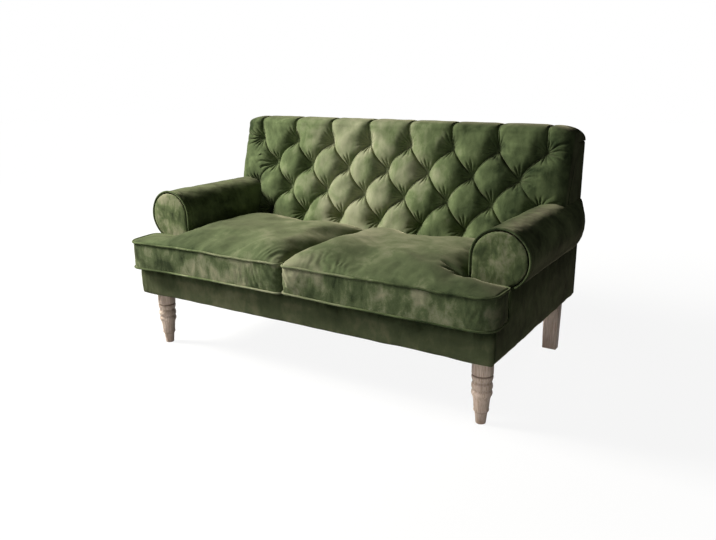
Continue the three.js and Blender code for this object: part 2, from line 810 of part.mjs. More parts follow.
// Where a button's rim meets the slopes of its pit.
function buttonSeat() {
  const across = buttonPitch / 2 / gridPerPitch;
  const along = buttonRowPitch / gridPerPitch;
  const button = buttons[Math.floor(buttonsInLongRow / 2)];
  let slope = 0;
  for (const i of [-1, 0, 1]) {
    for (const j of [-1, 0, 1]) {
      const reach = Math.hypot(i * across, j * along);
      const rise = tuftHeight(button.x + i * across, button.up + j * along);
      if (reach > 0) slope = Math.max(slope, rise / reach);
    }
  }
  return slope * (1 + buttonSpareShare) * buttonRadius;
}

// One row: covered buttons, their twines through the pad and the webbing that they are tied to.
function buttonRow(row) {
  const seat = buttonSeat() + clearance;
  const inRow = buttons.filter((button) => button.row === row);
  const strap = new THREE.BoxGeometry(2 * railOuterX, webbingThickness, webbingWidth);
  strap.translate(0, webbingFront - webbingThickness / 2, 0);
  const pieces = [ontoFace(strap, { x: 0, up: inRow[0].up })];
  for (const button of inRow) {
    const outline = buttonShares.map(
      ([radius, height]) => new THREE.Vector2(radius * buttonRadius, seat + height * buttonHeight),
    );
    pieces.push(ontoFace(new THREE.LatheGeometry(outline, buttonSides), button));
    pieces.push(twine(button, twineRadius, webbingFront - webbingThickness / 2, seat + buttonHeight / 2));
  }
  return join(...pieces);
}

function addBack() {
  const { velvet } = finishes;
  add('back_pad', backPad(), velvet);
  for (let row = 0; row < buttonRows; row += 1) add(`button_row_${row + 1}`, buttonRow(row), velvet);
}

// Loose seat cushions

const cushionFoot = deckTop + clearance;
const cushionInnerX = cushionGap / 2;
const cushionOuterX = armInnerX - cushionSideGap;
const earX = halfWidth - earReachIn;
const earBackY = frontY + earBehindFront;
const cushionBackY = faceY(lumbarShares[0] * tuftDepth, cushionFoot) - cushionBackGap;
const topPipingZ = cushionFoot + cushionBorderHeight;
const bottomPipingZ = cushionFoot + pipingRadius + clearance;
const shoulderFall = 3 * pipingRadius; // border bulges out over this height beside each piping
const grooveReach = pipingRadius + 2 * clearance; // piping's middle to the lips of its groove
const grooveAngle = Math.PI / 5; // of those lips above and below the piping

// Corners of the T shape, anticlockwise from the front inner one, with the mesh steps to the next.
const cushionCorners = [
  { x: cushionInnerX, y: frontY, radius: centreCornerRadius, bend: 1, steps: 8 },
  { x: earX, y: frontY, radius: frontCornerRadius, bend: 1, steps: 1 },
  { x: earX, y: earBackY, radius: earCornerRadius, bend: 1, steps: 1 },
  { x: cushionOuterX, y: earBackY, radius: notchRadius, bend: -1, steps: 5 },
  { x: cushionOuterX, y: cushionBackY, radius: backCornerRadius, bend: 1, steps: 6 },
  { x: cushionInnerX, y: cushionBackY, radius: centreCornerRadius, bend: 1, steps: 7 },
];

// The T shape drawn in by an inset, as points on a level.
function cushionOutline(inset, z) {
  const corners = cushionCorners.map((corner, i) => {
    const last = cushionCorners[(i + cushionCorners.length - 1) % cushionCorners.length];
    const next = cushionCorners[(i + 1) % cushionCorners.length];
    const into = new THREE.Vector2(corner.x - last.x, corner.y - last.y).normalize();
    const out = new THREE.Vector2(next.x - corner.x, next.y - corner.y).normalize();
    const inwards = new THREE.Vector2(-into.y - out.y, into.x + out.x);
    const place = new THREE.Vector2(corner.x, corner.y).addScaledVector(inwards, inset);
    const radius = corner.radius - corner.bend * inset;
    const centre = place.clone().addScaledVector(into, -radius).addScaledVector(out, radius);
    return { ...corner, into, out, radius, centre };
  });
  const points = [];
  corners.forEach((corner, i) => {
    const { centre, into, out, radius } = corner;
    for (let step = 0; step <= cornerSteps; step += 1) {
      const turn = ((Math.PI / 2) * step) / cornerSteps;
      const point = centre.clone().addScaledVector(out, -radius * Math.cos(turn));
      points.push(point.addScaledVector(into, radius * Math.sin(turn)));
    }
    const next = corners[(i + 1) % corners.length];
    const from = points[points.length - 1];
    const to = next.centre.clone().addScaledVector(next.out, -next.radius);
    for (let step = 1; step < corner.steps; step += 1) {
      points.push(from.clone().lerp(to, step / corner.steps));
    }
  });
  return points.map((point) => new THREE.Vector3(point.x, point.y, z));
}

// Crown above the top seam at a place, from a body crown and a lower one over the front and ear.
function crownAt(x, y) {
  const bulge = (value, low, high) =>
    1 - Math.min(1, Math.abs((2 * value - low - high) / (high - low))) ** crownPower;
  const main = bulge(x, cushionInnerX, cushionOuterX) * bulge(y, frontY, cushionBackY);
  const ear = bulge(x, cushionInnerX, earX) * bulge(y, frontY, earBackY);
  return Math.max(cushionCrown * main, earCrown * ear);
}

// A point ahead of the notch, from which every part of the T shape can be seen.
const cushionEye = new THREE.Vector2((cushionInnerX + 2 * cushionOuterX) / 3, (frontY + earBackY) / 2);

function crownRings(edge, drop) {
  return crownShares.map((share) =>
    edge.map((point) => {
      const x = cushionEye.x + (point.x - cushionEye.x) * share;
      const y = cushionEye.y + (point.y - cushionEye.y) * share;
      return new THREE.Vector3(x, y, topPipingZ + seamSetIn + crownAt(x, y) - drop);
    }),
  );
}

const flattenPlan = (p) => new THREE.Vector2(p.x, p.y);

// The outside of a cushion, with a groove above and below for the piping.
function cushionSkin() {
  const groove = seamSetIn + grooveReach * Math.cos(grooveAngle);
  const dip = grooveReach * Math.sin(grooveAngle);
  const edge = cushionOutline(groove + pipingRadius, topPipingZ + seamSetIn);
  for (const point of edge) point.z += crownAt(point.x, point.y);
  return loft(
    [
      cushionOutline(groove + pipingRadius, cushionFoot),
      cushionOutline(groove, bottomPipingZ + dip),
      cushionOutline(0, bottomPipingZ + shoulderFall),
      cushionOutline(0, topPipingZ - shoulderFall),
      cushionOutline(groove, topPipingZ - dip),
      edge,
      ...crownRings(edge, 0),
    ],
    { flatten: flattenPlan },
  );
}

// The room inside a cover, which the filling takes up.
function cushionRoom() {
  const inset = coverThickness;
  const shoulder = seamSetIn + 2 * pipingRadius + inset;
  const edge = cushionOutline(shoulder + seamSetIn, topPipingZ);
  return loft(
    [
      cushionOutline(shoulder + seamSetIn, cushionFoot + inset),
      cushionOutline(inset, bottomPipingZ + shoulderFall + inset),
      cushionOutline(inset, topPipingZ - shoulderFall - inset),
      edge,
      ...crownRings(edge, inset),
    ],
    { flatten: flattenPlan },
  );
}

// The filling is the room drawn in a little towards the point that sees all of it.
function cushionFilling() {
  const middleZ = (cushionFoot + topPipingZ) / 2;
  return cushionRoom()
    .translate(-cushionEye.x, -cushionEye.y, -middleZ)
    .scale(fillingShare, fillingShare, fillingShare)
    .translate(cushionEye.x, cushionEye.y, middleZ);
}

function pipingLoop(z) {
  return bead(cushionOutline(seamSetIn, z), axisZ, pipingRadius, pipingSides, true);
}

const zipZ = (topPipingZ + bottomPipingZ) / 2;
const zipX = (cushionInnerX + cushionOuterX) / 2;
const zipBackY = cushionBackY + clearance + zipThickness;

function zipSlider() {
  const restX = zipX + zipLength / 2 - sliderLength;
  const faceY0 = zipBackY + clearance;
  const body = block(
    [restX, faceY0, zipZ - sliderHeight / 2],
    [restX + sliderLength, faceY0 + sliderThickness, zipZ + sliderHeight / 2],
  );
  const pullX = restX + (sliderLength - pullWidth) / 2;
  const pullY = faceY0 + sliderThickness - pullThickness / 2;
  const pull = block([pullX, pullY, zipZ - pullLength], [pullX + pullWidth, pullY + pullThickness, zipZ]);
  return join(body, pull);
}

function addCushions() {
  const { velvet, foam, zipTape, zipMetal } = finishes;
  const slot = block(
    [zipX - zipLength / 2 + zipWidth, cushionBackY - overrun, zipZ - zipSlotHeight / 2],
    [zipX + zipLength / 2 - zipWidth, cushionBackY + overrun, zipZ + zipSlotHeight / 2],
  );
  addPair('cushion_cover', cut(cushionSkin(), cushionRoom(), slot), velvet);
  addPair('cushion_core', cushionFilling(), foam);
  addPair('cushion_top_piping', pipingLoop(topPipingZ), velvet);
  addPair('cushion_bottom_piping', pipingLoop(bottomPipingZ), velvet);
  const zip = block(
    [zipX - zipLength / 2, cushionBackY + clearance, zipZ - zipWidth / 2],
    [zipX + zipLength / 2, zipBackY, zipZ + zipWidth / 2],
  );
  addPair('cushion_zip', zip, zipTape);
  addPair('zip_slider', zipSlider(), zipMetal);
}

addFrame();
addLegs();
addSeatPlatform();
addOutsidePanels();
addArms();
addBack();
addCushions();

export default sofa;
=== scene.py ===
# %% [markdown]
# A two-seat sofa in crushed velvet, dressed over a solid frame.
# The frame is the engineer's model: rails, springs, legs, pads, each a plain solid in its true place.
# This script leaves the timber and metal where they are, gives them finishes, and covers each soft
# solid with upholstery that creases, gathers and catches the light as the real cloth does.

# %% Load the frame
import json
import math

import bmesh
import bpy
import numpy as np
from mathutils import Matrix, Vector


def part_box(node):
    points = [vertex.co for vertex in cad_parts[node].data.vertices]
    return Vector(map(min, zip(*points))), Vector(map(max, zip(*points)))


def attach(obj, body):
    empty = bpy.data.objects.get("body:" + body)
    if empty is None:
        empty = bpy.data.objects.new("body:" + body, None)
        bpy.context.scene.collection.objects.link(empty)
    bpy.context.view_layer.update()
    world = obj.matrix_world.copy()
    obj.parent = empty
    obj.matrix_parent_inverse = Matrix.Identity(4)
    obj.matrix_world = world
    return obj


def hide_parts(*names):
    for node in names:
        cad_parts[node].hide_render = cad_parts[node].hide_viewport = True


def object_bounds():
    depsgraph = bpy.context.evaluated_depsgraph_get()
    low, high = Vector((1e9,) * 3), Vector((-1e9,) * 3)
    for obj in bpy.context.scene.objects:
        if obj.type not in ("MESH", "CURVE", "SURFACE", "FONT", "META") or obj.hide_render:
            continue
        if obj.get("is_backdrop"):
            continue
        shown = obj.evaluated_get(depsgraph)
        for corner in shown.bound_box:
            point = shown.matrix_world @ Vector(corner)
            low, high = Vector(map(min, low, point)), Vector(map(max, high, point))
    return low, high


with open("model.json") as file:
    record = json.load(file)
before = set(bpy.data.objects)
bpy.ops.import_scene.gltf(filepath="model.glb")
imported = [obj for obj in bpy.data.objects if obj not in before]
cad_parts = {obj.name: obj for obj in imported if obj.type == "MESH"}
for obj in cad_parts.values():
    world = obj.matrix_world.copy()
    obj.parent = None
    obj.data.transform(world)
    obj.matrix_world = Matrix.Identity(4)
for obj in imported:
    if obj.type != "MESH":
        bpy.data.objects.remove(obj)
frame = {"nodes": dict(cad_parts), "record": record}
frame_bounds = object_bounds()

MM = 0.001
print("nodes in the frame:", len(frame["nodes"]))

# %% [markdown]
# The camera stands where the photographer stood: to the right of the sofa and a little above it.
# Its place and angles were worked out from edges of the sofa that are level, upright or square to
# each other. A camera looks along its own -Z, so its matrix has right, up and minus ahead as columns.

# %% Camera
PHOTO_WIDTH = 716
FOCAL_LENGTH = 714.65  # in pixels of the photograph
YAW, PITCH, ROLL = (math.radians(angle) for angle in (32.18, 15.51, -0.44))
ahead = Vector((-math.sin(YAW) * math.cos(PITCH), math.cos(YAW) * math.cos(PITCH), -math.sin(PITCH)))
level = Vector((math.cos(YAW), math.sin(YAW), 0))
upright = level.cross(ahead)
camera_right = level * math.cos(ROLL) + upright * math.sin(ROLL)
camera_up = upright * math.cos(ROLL) - level * math.sin(ROLL)

camera = bpy.data.objects.new("camera", bpy.data.cameras.new("camera"))
camera.data.sensor_width = 36
camera.data.lens = 36 * FOCAL_LENGTH / PHOTO_WIDTH
turn = Matrix((camera_right, camera_up, -ahead)).transposed().to_4x4()
camera.matrix_world = Matrix.Translation((1.4641, -2.2868, 1.0784)) @ turn
bpy.context.collection.objects.link(camera)
bpy.context.scene.camera = camera
print(f"lens {camera.data.lens:.2f} mm")

# %% [markdown]
# Light comes from a large soft box on the left, as in the photograph, where the left side of every
# pillow is bright and the outer side on the right is nearly black. It stands close, so that the light
# falls off along the sofa. The other lamps are weak: a low box in front, a narrow strip that reaches
# the legs, a box behind, one on the right, and a narrow beam on top of the right arm. A lamp could
# also be a point or a sun, but large boxes give soft shadows, which velvet needs to look deep.

# %% Lamps
# name: place, target, width and height, watts, tint, spread of the beam in degrees
LAMPS = {
    "window_left": ((-2.8, -1.2, 2.3), (0.1, 0, 0.5), (1.2, 1.2), 250, (1.0, 0.975, 0.94), 180),
    "front_fill": ((0.3, -3.4, 0.36), (0.2, 0, 0.25), (2.6, 0.6), 18, (0.98, 0.98, 1.0), 180),
    "leg_strip": ((0.4, -3.2, 0.14), (0.3, 0, 0.06), (2.4, 0.12), 1.1, (1.0, 0.99, 0.97), 16),
    "rear_fill": ((-1.2, 3.6, 0.6), (0, 0.4, 0.4), (2.6, 0.8), 30, (0.97, 0.98, 1.0), 180),
    "right_fill": ((3.4, -0.3, 1.1), (0.7, 0, 0.45), (0.8, 0.8), 1.0, (0.97, 0.98, 1.0), 180),
    "arm_top": ((1.9, -0.9, 3.0), (0.86, -0.1, 0.5), (0.5, 0.8), 0.2, (1.0, 0.98, 0.95), 26),
}
for name, (place, target, size, watts, tint, spread) in LAMPS.items():
    lamp = bpy.data.lights.new(name, "AREA")
    lamp.shape = "RECTANGLE"
    lamp.size, lamp.size_y = size
    lamp.energy = watts
    lamp.color = tint
    lamp.spread = math.radians(spread)
    holder = bpy.data.objects.new(name, lamp)
    holder.location = place
    holder.rotation_euler = (Vector(target) - Vector(place)).to_track_quat("-Z", "Y").to_euler()
    bpy.context.collection.objects.link(holder)
print("lamps:", ", ".join(LAMPS))

# %% [markdown]
# Three small helpers serve every finish: one turns the hex colour that a painter would name into
# the linear numbers that the renderer works in, one adds a shader node with its settings and links,
# and one starts a material with an empty surface. Nodes could be joined by hand in the editor, but
# written out they can be read, and each number can be changed.

# %% Helpers for finishes
def linear(hex_colour):
    channels = (int(hex_colour[i : i + 2], 16) / 255 for i in (1, 3, 5))
    return (*(c / 12.92 if c <= 0.04045 else ((c + 0.055) / 1.055) ** 2.4 for c in channels), 1)


def add_node(tree, kind, inputs=None, **settings):
    """A shader node. An input is a number, a colour, an output, or a node, whose first output is meant."""
    node = tree.nodes.new("ShaderNode" + kind)
    for name, value in settings.items():
        setattr(node, name, value)
    for socket, value in (inputs or {}).items():
        if isinstance(value, bpy.types.Node):
            value = value.outputs[0]
        if isinstance(value, bpy.types.NodeSocket):
            tree.links.new(value, node.inputs[socket])
        else:
            node.inputs[socket].default_value = value
    return node


def new_material(name):
    material = bpy.data.materials.new(name)
    material.use_nodes = True
    material.node_tree.nodes.clear()
    return material, material.node_tree


# Places in a Mix node set to RGBA: its factor, its two colours and its result.
FACTOR, FIRST, SECOND, MIXED = 0, 6, 7, 2
print("linear grey:", [round(channel, 4) for channel in linear("#808080")])

# %% [markdown]
# The world is a dim grey that hardly lights the sofa, and the floor is grey paint that takes its
# shadow. Rays that show the background, from the camera or by way of metal, find both of them
# white instead: the world by a mix of two backgrounds, and the floor by a glow that is a little
# weaker near the sofa. So the background is white, and the sofa loses no contrast to it.

# %% Floor and world
def shows_background(tree):
    """1 for a ray that shows the background, straight or by way of metal or glass, else 0."""
    path = add_node(tree, "LightPath")
    shown = path.outputs["Is Camera Ray"]
    for other in ("Is Glossy Ray", "Is Transmission Ray"):
        shown = add_node(tree, "Math", {0: shown, 1: path.outputs[other]}, operation="MAXIMUM")
    return shown


WHITE = (1, 1, 1, 1)
world = bpy.data.worlds.new("studio")
bpy.context.scene.world = world
world.use_nodes = True
sky = world.node_tree
sky.nodes.clear()
dim = add_node(sky, "Background", {"Color": linear("#e8ecf0"), "Strength": 0.022})
white = add_node(sky, "Background", {"Color": WHITE, "Strength": 1.0})
both = add_node(sky, "MixShader", {0: shows_background(sky), 1: dim, 2: white})
add_node(sky, "OutputWorld", {"Surface": both})

floor_paint, tree = new_material("pale_studio_floor")
place = add_node(tree, "TexCoord").outputs["Object"]
away = add_node(tree, "VectorMath", {0: place}, operation="LENGTH").outputs["Value"]
fading = add_node(tree, "MapRange", {
    "Value": away, "From Min": 1.2, "From Max": 4.0, "To Min": 0.90, "To Max": 1.0,
})
glowing = add_node(tree, "Math", {0: shows_background(tree), 1: fading}, operation="MULTIPLY")
paint = add_node(tree, "BsdfDiffuse", {"Color": linear("#646462")})
glow = add_node(tree, "Emission", {"Color": WHITE, "Strength": glowing})
add_node(tree, "OutputMaterial", {"Surface": add_node(tree, "AddShader", {0: paint, 1: glow})})

FLOOR_HALF = 14  # metres
bm = bmesh.new()
bmesh.ops.create_grid(bm, x_segments=1, y_segments=1, size=FLOOR_HALF)
floor_mesh = bpy.data.meshes.new("floor")
bm.to_mesh(floor_mesh)
bm.free()
floor_mesh.materials.append(floor_paint)
floor = bpy.data.objects.new("floor", floor_mesh)
bpy.context.collection.objects.link(floor)
floor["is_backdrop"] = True
print("floor:", 2 * FLOOR_HALF, "m across")

# %% [markdown]
# Crushed velvet is a cut pile, here of polyester, whose fibres lean different ways in patches. Seen
# along the fibres it is pale sage, seen into them it is a deep green, and at grazing angles the
# fibre tips glow. An image of cloth could be wrapped round each piece, but noise needs no seams and
# stays sharp. Patches of 75 to 150 mm, streaks a quarter as wide and a mottle of 5 mm mix the
# colours, and the sheen lobe of the shader gives the glow.

# %% How the pile lies
MOTTLE, PILE = 0.005, 0.002  # metres; real pile is finer than a pixel, so it is drawn this coarse
PILE_AND_SHADE_WAVE = 2 * math.pi / 1.4  # the velvet goes pale and deep again in 1.4 m, partly patches of pile and partly painted shade


def pile_noise(tree, place, patch):
    """How far the pile leans to the pale side, about 0.5: patches, streaks and a fine mottle."""
    brushed = add_node(tree, "Mapping", {
        "Vector": place, "Scale": (1.0, 0.8, 0.5), "Rotation": (0.3, 0.2, 0.5),
    })
    layers = (
        (0.60, {"Vector": place, "Scale": 1 / patch, "Detail": 3.0, "Roughness": 0.5, "Distortion": 0.7}),
        (0.32, {"Vector": brushed, "Scale": 4 / patch, "Detail": 4.0, "Roughness": 0.6, "Distortion": 0.6}),
        (0.08, {"Vector": place, "Scale": 1 / MOTTLE, "Detail": 2.0, "Roughness": 0.6}),
    )
    blend = 0.0
    for share, settings in layers:
        noise = add_node(tree, "TexNoise", settings)
        blend = add_node(tree, "Math", {0: noise, 1: share, 2: blend}, operation="MULTIPLY_ADD")
    return blend


def pile_and_shade_wave(tree, axes, middle, seam=None, border_middle=0.0, tilt=0.0):
    """From 1 at X middle to -1, pale velvet to deep: partly patches of pile and partly painted shade along
    the sofa. A cushion has a top seam: below it the border has a middle of its own, and above it the
    right cushion's wave runs aslant."""
    wave = add_node(tree, "Math", {0: axes["X"], 1: PILE_AND_SHADE_WAVE, 2: -PILE_AND_SHADE_WAVE * middle}, operation="MULTIPLY_ADD")
    if seam:
        on_top = add_node(tree, "MapRange", {
            "Value": axes["Z"], "From Min": seam - 0.01, "From Max": seam + 0.01,
        })
        at_right = add_node(tree, "MapRange", {
            "Value": axes["X"], "From Min": -0.03, "From Max": 0.06, "To Max": -tilt * PILE_AND_SHADE_WAVE,
        })
        aslant = add_node(tree, "Math", {0: at_right, 1: axes["Y"]}, operation="MULTIPLY")
        wave = add_node(tree, "Math", {0: aslant, 1: on_top, 2: wave}, operation="MULTIPLY_ADD")
        aside = add_node(tree, "MapRange", {
            "Value": on_top, "To Min": PILE_AND_SHADE_WAVE * (middle - border_middle), "To Max": 0.0,
        })
        wave = add_node(tree, "Math", {0: wave, 1: aside}, operation="ADD")
    return add_node(tree, "Math", {0: wave}, operation="COSINE")


# %% Velvet
def velvet(name, colours, spread, patch, pile_and_shade, middle, lean=0.0, painted_shadow_above=None, **cushion):
    """Three colours, from dark to pale, and a small spread between them gives strong patches. Lean
    moves all to the pale colour, as pile brushed up does. A wave along X, with a strength of its own,
    is partly patches of pile and partly painted shade.
    On a cushion's border, which hands rub, the patches are stronger. Above the height given for it, a
    painted shadow darkens the cloth towards its top, where the cushions overhang it."""
    material, tree = new_material(name)
    place = add_node(tree, "TexCoord").outputs["Object"]
    axes = add_node(tree, "SeparateXYZ", {0: place}).outputs
    blend = pile_noise(tree, place, patch)
    if cushion:
        seam = cushion["seam"]
        gain = add_node(tree, "MapRange", {
            "Value": axes["Z"],
            "From Min": seam - 0.01, "From Max": seam + 0.02, "To Min": 2.6, "To Max": 1.0,
        })
        blend = add_node(tree, "Math", {0: blend, 1: 0.5}, operation="SUBTRACT")
        blend = add_node(tree, "Math", {0: blend, 1: gain, 2: 0.5}, operation="MULTIPLY_ADD")
    # partly painted shade: a broad wave along X makes the velvet pale at its middle and deeper away from it
    wave = pile_and_shade_wave(tree, axes, middle, **cushion)
    blend = add_node(tree, "Math", {0: wave, 1: pile_and_shade, 2: blend}, operation="MULTIPLY_ADD")
    # painted shadow: the velvet is darkened towards the top of the front border, where the cushions overhang
    # it
    if painted_shadow_above:
        painted_shadow = add_node(tree, "MapRange", {
            "Value": axes["Z"],
            "From Min": painted_shadow_above, "From Max": painted_shadow_above + 0.030, "To Max": -0.28,
        })
        blend = add_node(tree, "Math", {0: blend, 1: painted_shadow}, operation="ADD")
    centre = 0.5 - lean
    colour = linear(colours[0])
    coats = ((centre - spread, centre + 0.02, colours[1]), (centre, centre + spread, colours[2]))
    for low, high, coat in coats:
        share = add_node(tree, "MapRange", {"Value": blend, "From Min": low, "From Max": high})
        layer = add_node(tree, "Mix", {FACTOR: share, FIRST: colour, SECOND: linear(coat)}, data_type="RGBA")
        colour = layer.outputs[MIXED]
    pile = add_node(tree, "TexNoise", {"Vector": place, "Scale": 1 / PILE, "Detail": 2.0})
    bump = add_node(tree, "Bump", {"Height": pile, "Strength": 0.2, "Distance": 0.0007})
    cloth = add_node(tree, "BsdfPrincipled", {
        "Base Color": colour,
        "Normal": bump,
        "Roughness": 0.78,
        "Specular IOR Level": 0.0,
        "Sheen Weight": 0.5,
        "Sheen Roughness": 0.36,
        "Sheen Tint": linear("#d2cba8"),
    })
    add_node(tree, "OutputMaterial", {"Surface": cloth})
    return material


green_velvet = velvet(
    "crushed_polyester_velvet", ("#2c3723", "#67744f", "#989a7c"), 0.27, 0.110, 0.16, -0.10,
)
cushion_velvet = velvet(
    "crushed_polyester_velvet_sat_on", ("#303b27", "#5f6b4a", "#97977a"), 0.30, 0.150, 0.12, 0.18,
    seam=0.438, border_middle=-0.22, tilt=0.8,
)
facing_velvet = velvet(
    "crushed_polyester_velvet_pile_up", ("#303b27", "#626e4a", "#959478"), 0.16, 0.075, 0.0, 0.0, lean=0.03,
)
# a darker, browner copy of the velvet for the front border: painted shade, as the border lies in the
# cushions' shadow, with a painted shadow above 0.296 m
shaded_rail_velvet = velvet(
    "crushed_polyester_velvet_painted_shade", ("#2b3220", "#52583f", "#77765c"), 0.30, 0.110, 0.05, -0.3,
    painted_shadow_above=0.296,
)
print("velvets:", [cloth.name for cloth in (green_velvet, cushion_velvet, facing_velvet, shaded_rail_velvet)])

# %% [markdown]
# The legs are turned in ash and limed: a white paste is rubbed into the open grain and wiped off, so
# the wood goes pale and pinkish grey, with whiter lines along the grain and a warmer, browner tone
# where the paste wore off near the foot. Lines of noise 3.5 mm apart, drawn out along Z, make the
# grain. Dark bands at the heights of the grooves are painted shade, the shadow that falls into each
# groove. They go by height, because a shader finds a groove by its height more simply than by its
# hollow shape.

# %% Limed ash
def limed_ash(name, bands=()):
    """Bands are the grooves of a turning, darkened to a deep wood colour as painted shade: height, half width
    and strength.
    """
    material, tree = new_material(name)
    place = add_node(tree, "TexCoord").outputs["Object"]
    height = add_node(tree, "SeparateXYZ", {0: place}).outputs["Z"]
    along = add_node(tree, "Mapping", {"Vector": place, "Scale": (1.0, 1.0, 0.06)})
    grain = add_node(tree, "TexNoise", {
        "Vector": along, "Scale": 1 / 0.0035, "Detail": 5.0, "Roughness": 0.65, "Distortion": 0.4,
    })
    cloudy = add_node(tree, "TexNoise", {"Vector": place, "Scale": 1 / 0.030, "Detail": 2.0})
    shifted = add_node(tree, "Math", {0: cloudy, 1: 0.05, 2: height}, operation="MULTIPLY_ADD")
    lime = add_node(tree, "MapRange", {"Value": grain, "From Min": 0.38, "From Max": 0.64})
    worn = add_node(tree, "MapRange", {
        "Value": shifted, "From Min": 0.020, "From Max": 0.110, "To Min": 0.75, "To Max": 0.0,
    })
    coats = [(lime, "#d6c4b6"), (worn, "#917c6b")]
    # painted shade: each groove is darkened where its shadow falls
    for level, half_width, strength in bands:
        offset = add_node(tree, "Math", {0: height, 1: level}, operation="SUBTRACT")
        offset = add_node(tree, "Math", {0: offset}, operation="ABSOLUTE")
        painted_groove_shade = add_node(tree, "MapRange", {
            "Value": offset,
            "From Min": 0.3 * half_width, "From Max": half_width, "To Min": strength, "To Max": 0.0,
        })
        coats.append((painted_groove_shade, "#5f4a3a"))
    colour = linear("#a8937f")
    for share, coat in coats:
        layer = add_node(tree, "Mix", {FACTOR: share, FIRST: colour, SECOND: linear(coat)}, data_type="RGBA")
        colour = layer.outputs[MIXED]
    bump = add_node(tree, "Bump", {"Height": grain, "Strength": 0.15, "Distance": 0.0004})
    wood = add_node(tree, "BsdfPrincipled", {
        "Base Color": colour, "Normal": bump, "Roughness": 0.62, "Specular IOR Level": 0.35,
    })
    add_node(tree, "OutputMaterial", {"Surface": wood})
    return material


# painted shade in the grooves of the front legs: height, half width and strength of each dark band
GROOVES = [(0.1668, 0.0045, 0.85), (0.1425, 0.006, 0.40), (0.1165, 0.006, 0.25), (0.0410, 0.005, 0.35)]
limed_wood = limed_ash("limed_ash")
turned_wood = limed_ash("limed_ash_turned", GROOVES)
print("grooves at", [level for level, _, _ in GROOVES], "m")

# %% [markdown]
# Out of sight are the pieces that a sofa stands on: planed beech for the frame, drawn spring steel,
# felted wool on the deck, a black spun-bonded dust cover, feather-proof cotton round the fillings,
# brass zip sliders and a woven zip tape. One recipe could leave them all alike, so each has its own
# two colours and its own size of grain, drawing marks, fibres or threads, from 1.2 to 6 mm.

# %% Finishes of the hidden pieces
def simple_finish(
    name, first, second, scale, roughness, metallic=0.0, stretch=(1, 1, 1), bump=0.2, woven=False,
):
    """Two colours mixed by noise of the scale, which is in metres, or with raised threads if woven."""
    material, tree = new_material(name)
    place = add_node(tree, "TexCoord").outputs["Object"]
    drawn = add_node(tree, "Mapping", {"Vector": place, "Scale": stretch})
    raised = add_node(tree, "TexNoise", {
        "Vector": drawn, "Scale": 1 / scale, "Detail": 4.0, "Distortion": 0.3,
    })
    first, second = linear(first), linear(second)
    colour = add_node(tree, "Mix", {FACTOR: raised, FIRST: first, SECOND: second}, data_type="RGBA")
    if woven:
        threads = {"Vector": drawn, "Scale": 0.314 / scale, "Distortion": 0.4}
        warp = add_node(tree, "TexWave", threads, bands_direction="X").outputs["Fac"]
        weft = add_node(tree, "TexWave", threads, bands_direction="Y").outputs["Fac"]
        raised = add_node(tree, "Math", {0: warp, 1: weft}, operation="MULTIPLY")
    body = add_node(tree, "BsdfPrincipled", {
        "Base Color": colour.outputs[MIXED],
        "Normal": add_node(tree, "Bump", {"Height": raised, "Strength": bump, "Distance": 0.0004}),
        "Roughness": roughness,
        "Metallic": metallic,
    })
    add_node(tree, "OutputMaterial", {"Surface": body})
    return material


cotton = simple_finish("feather_proof_cotton", "#d8d0bc", "#ece6d8", 0.0015, 0.85, woven=True)
deck_felt = simple_finish("pressed_wool_felt", "#3c3c39", "#5a5953", 0.003, 0.95, bump=0.5)
dust_cloth = simple_finish("spun_bonded_dust_cloth", "#141312", "#262423", 0.002, 0.9, woven=True)
finish_of_slot = {
    "velvet": green_velvet,
    "limed_wood": limed_wood,
    "frame_wood": simple_finish("planed_beech", "#b08a5a", "#cfae80", 0.006, 0.6, stretch=(0.08, 1, 1)),
    "dust_cloth": dust_cloth,
    "deck_felt": deck_felt,
    "cushion_filling": cotton,
    "spring_steel": simple_finish("drawn_spring_steel", "#77797b", "#9a9c9e", 0.004, 0.38, metallic=1.0),
    "zip_metal": simple_finish("polished_brass", "#8f7a45", "#b39c62", 0.002, 0.32, metallic=1.0),
    "zip_tape": simple_finish("woven_zip_tape", "#2a3420", "#414e31", 0.0012, 0.85, bump=0.5, woven=True),
}
for part in frame["record"]["subparts"]:
    mesh = frame["nodes"][part["node"]].data
    mesh.materials.clear()
    mesh.materials.append(finish_of_slot[part["material_slot"]])
print("finishes:", len(finish_of_slot))

# %% [markdown]
# Upholstery starts flat. The first helper makes a flat grid and moves every point of it to where a
# rule puts it, which is how cloth is wrapped over a form. It could be sculpted by hand instead, but a
# rule gives the same cloth every time. The others close its edges, give it its waves, and finish any
# piece: millimetres become metres, faces point outwards, and it is fixed to the body that carries it.

# %% Helpers for pieces
SIDES = ((1, "right"), (-1, "left"))


def corners_of(node):
    """The lowest and the highest corner of a node's box, in millimetres."""
    return [Vector(corner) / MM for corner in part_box(node)]


def wrapped_cloth(columns, rows, place):
    """A flat grid, each point moved to where place puts its two shares (0 to 1) of the way across and up."""
    cloth = bmesh.new()
    bmesh.ops.create_grid(cloth, x_segments=columns, y_segments=rows, size=0.5)
    shares = np.array([vert.co[:2] for vert in cloth.verts]) + 0.5
    move_to(cloth, place(shares[:, 0], shares[:, 1]))
    return cloth


def move_to(cloth, points):
    for vert, spot in zip(cloth.verts, points):
        vert.co = spot


def close_up(cloth, distance=0.05):
    """Joins points that lie together and fills what is left open."""
    bmesh.ops.remove_doubles(cloth, verts=cloth.verts, dist=distance)
    rim = [edge for edge in cloth.edges if edge.is_boundary]
    filled = bmesh.ops.holes_fill(cloth, edges=rim, sides=0)["faces"]
    bmesh.ops.triangulate(cloth, faces=filled, ngon_method="EAR_CLIP")


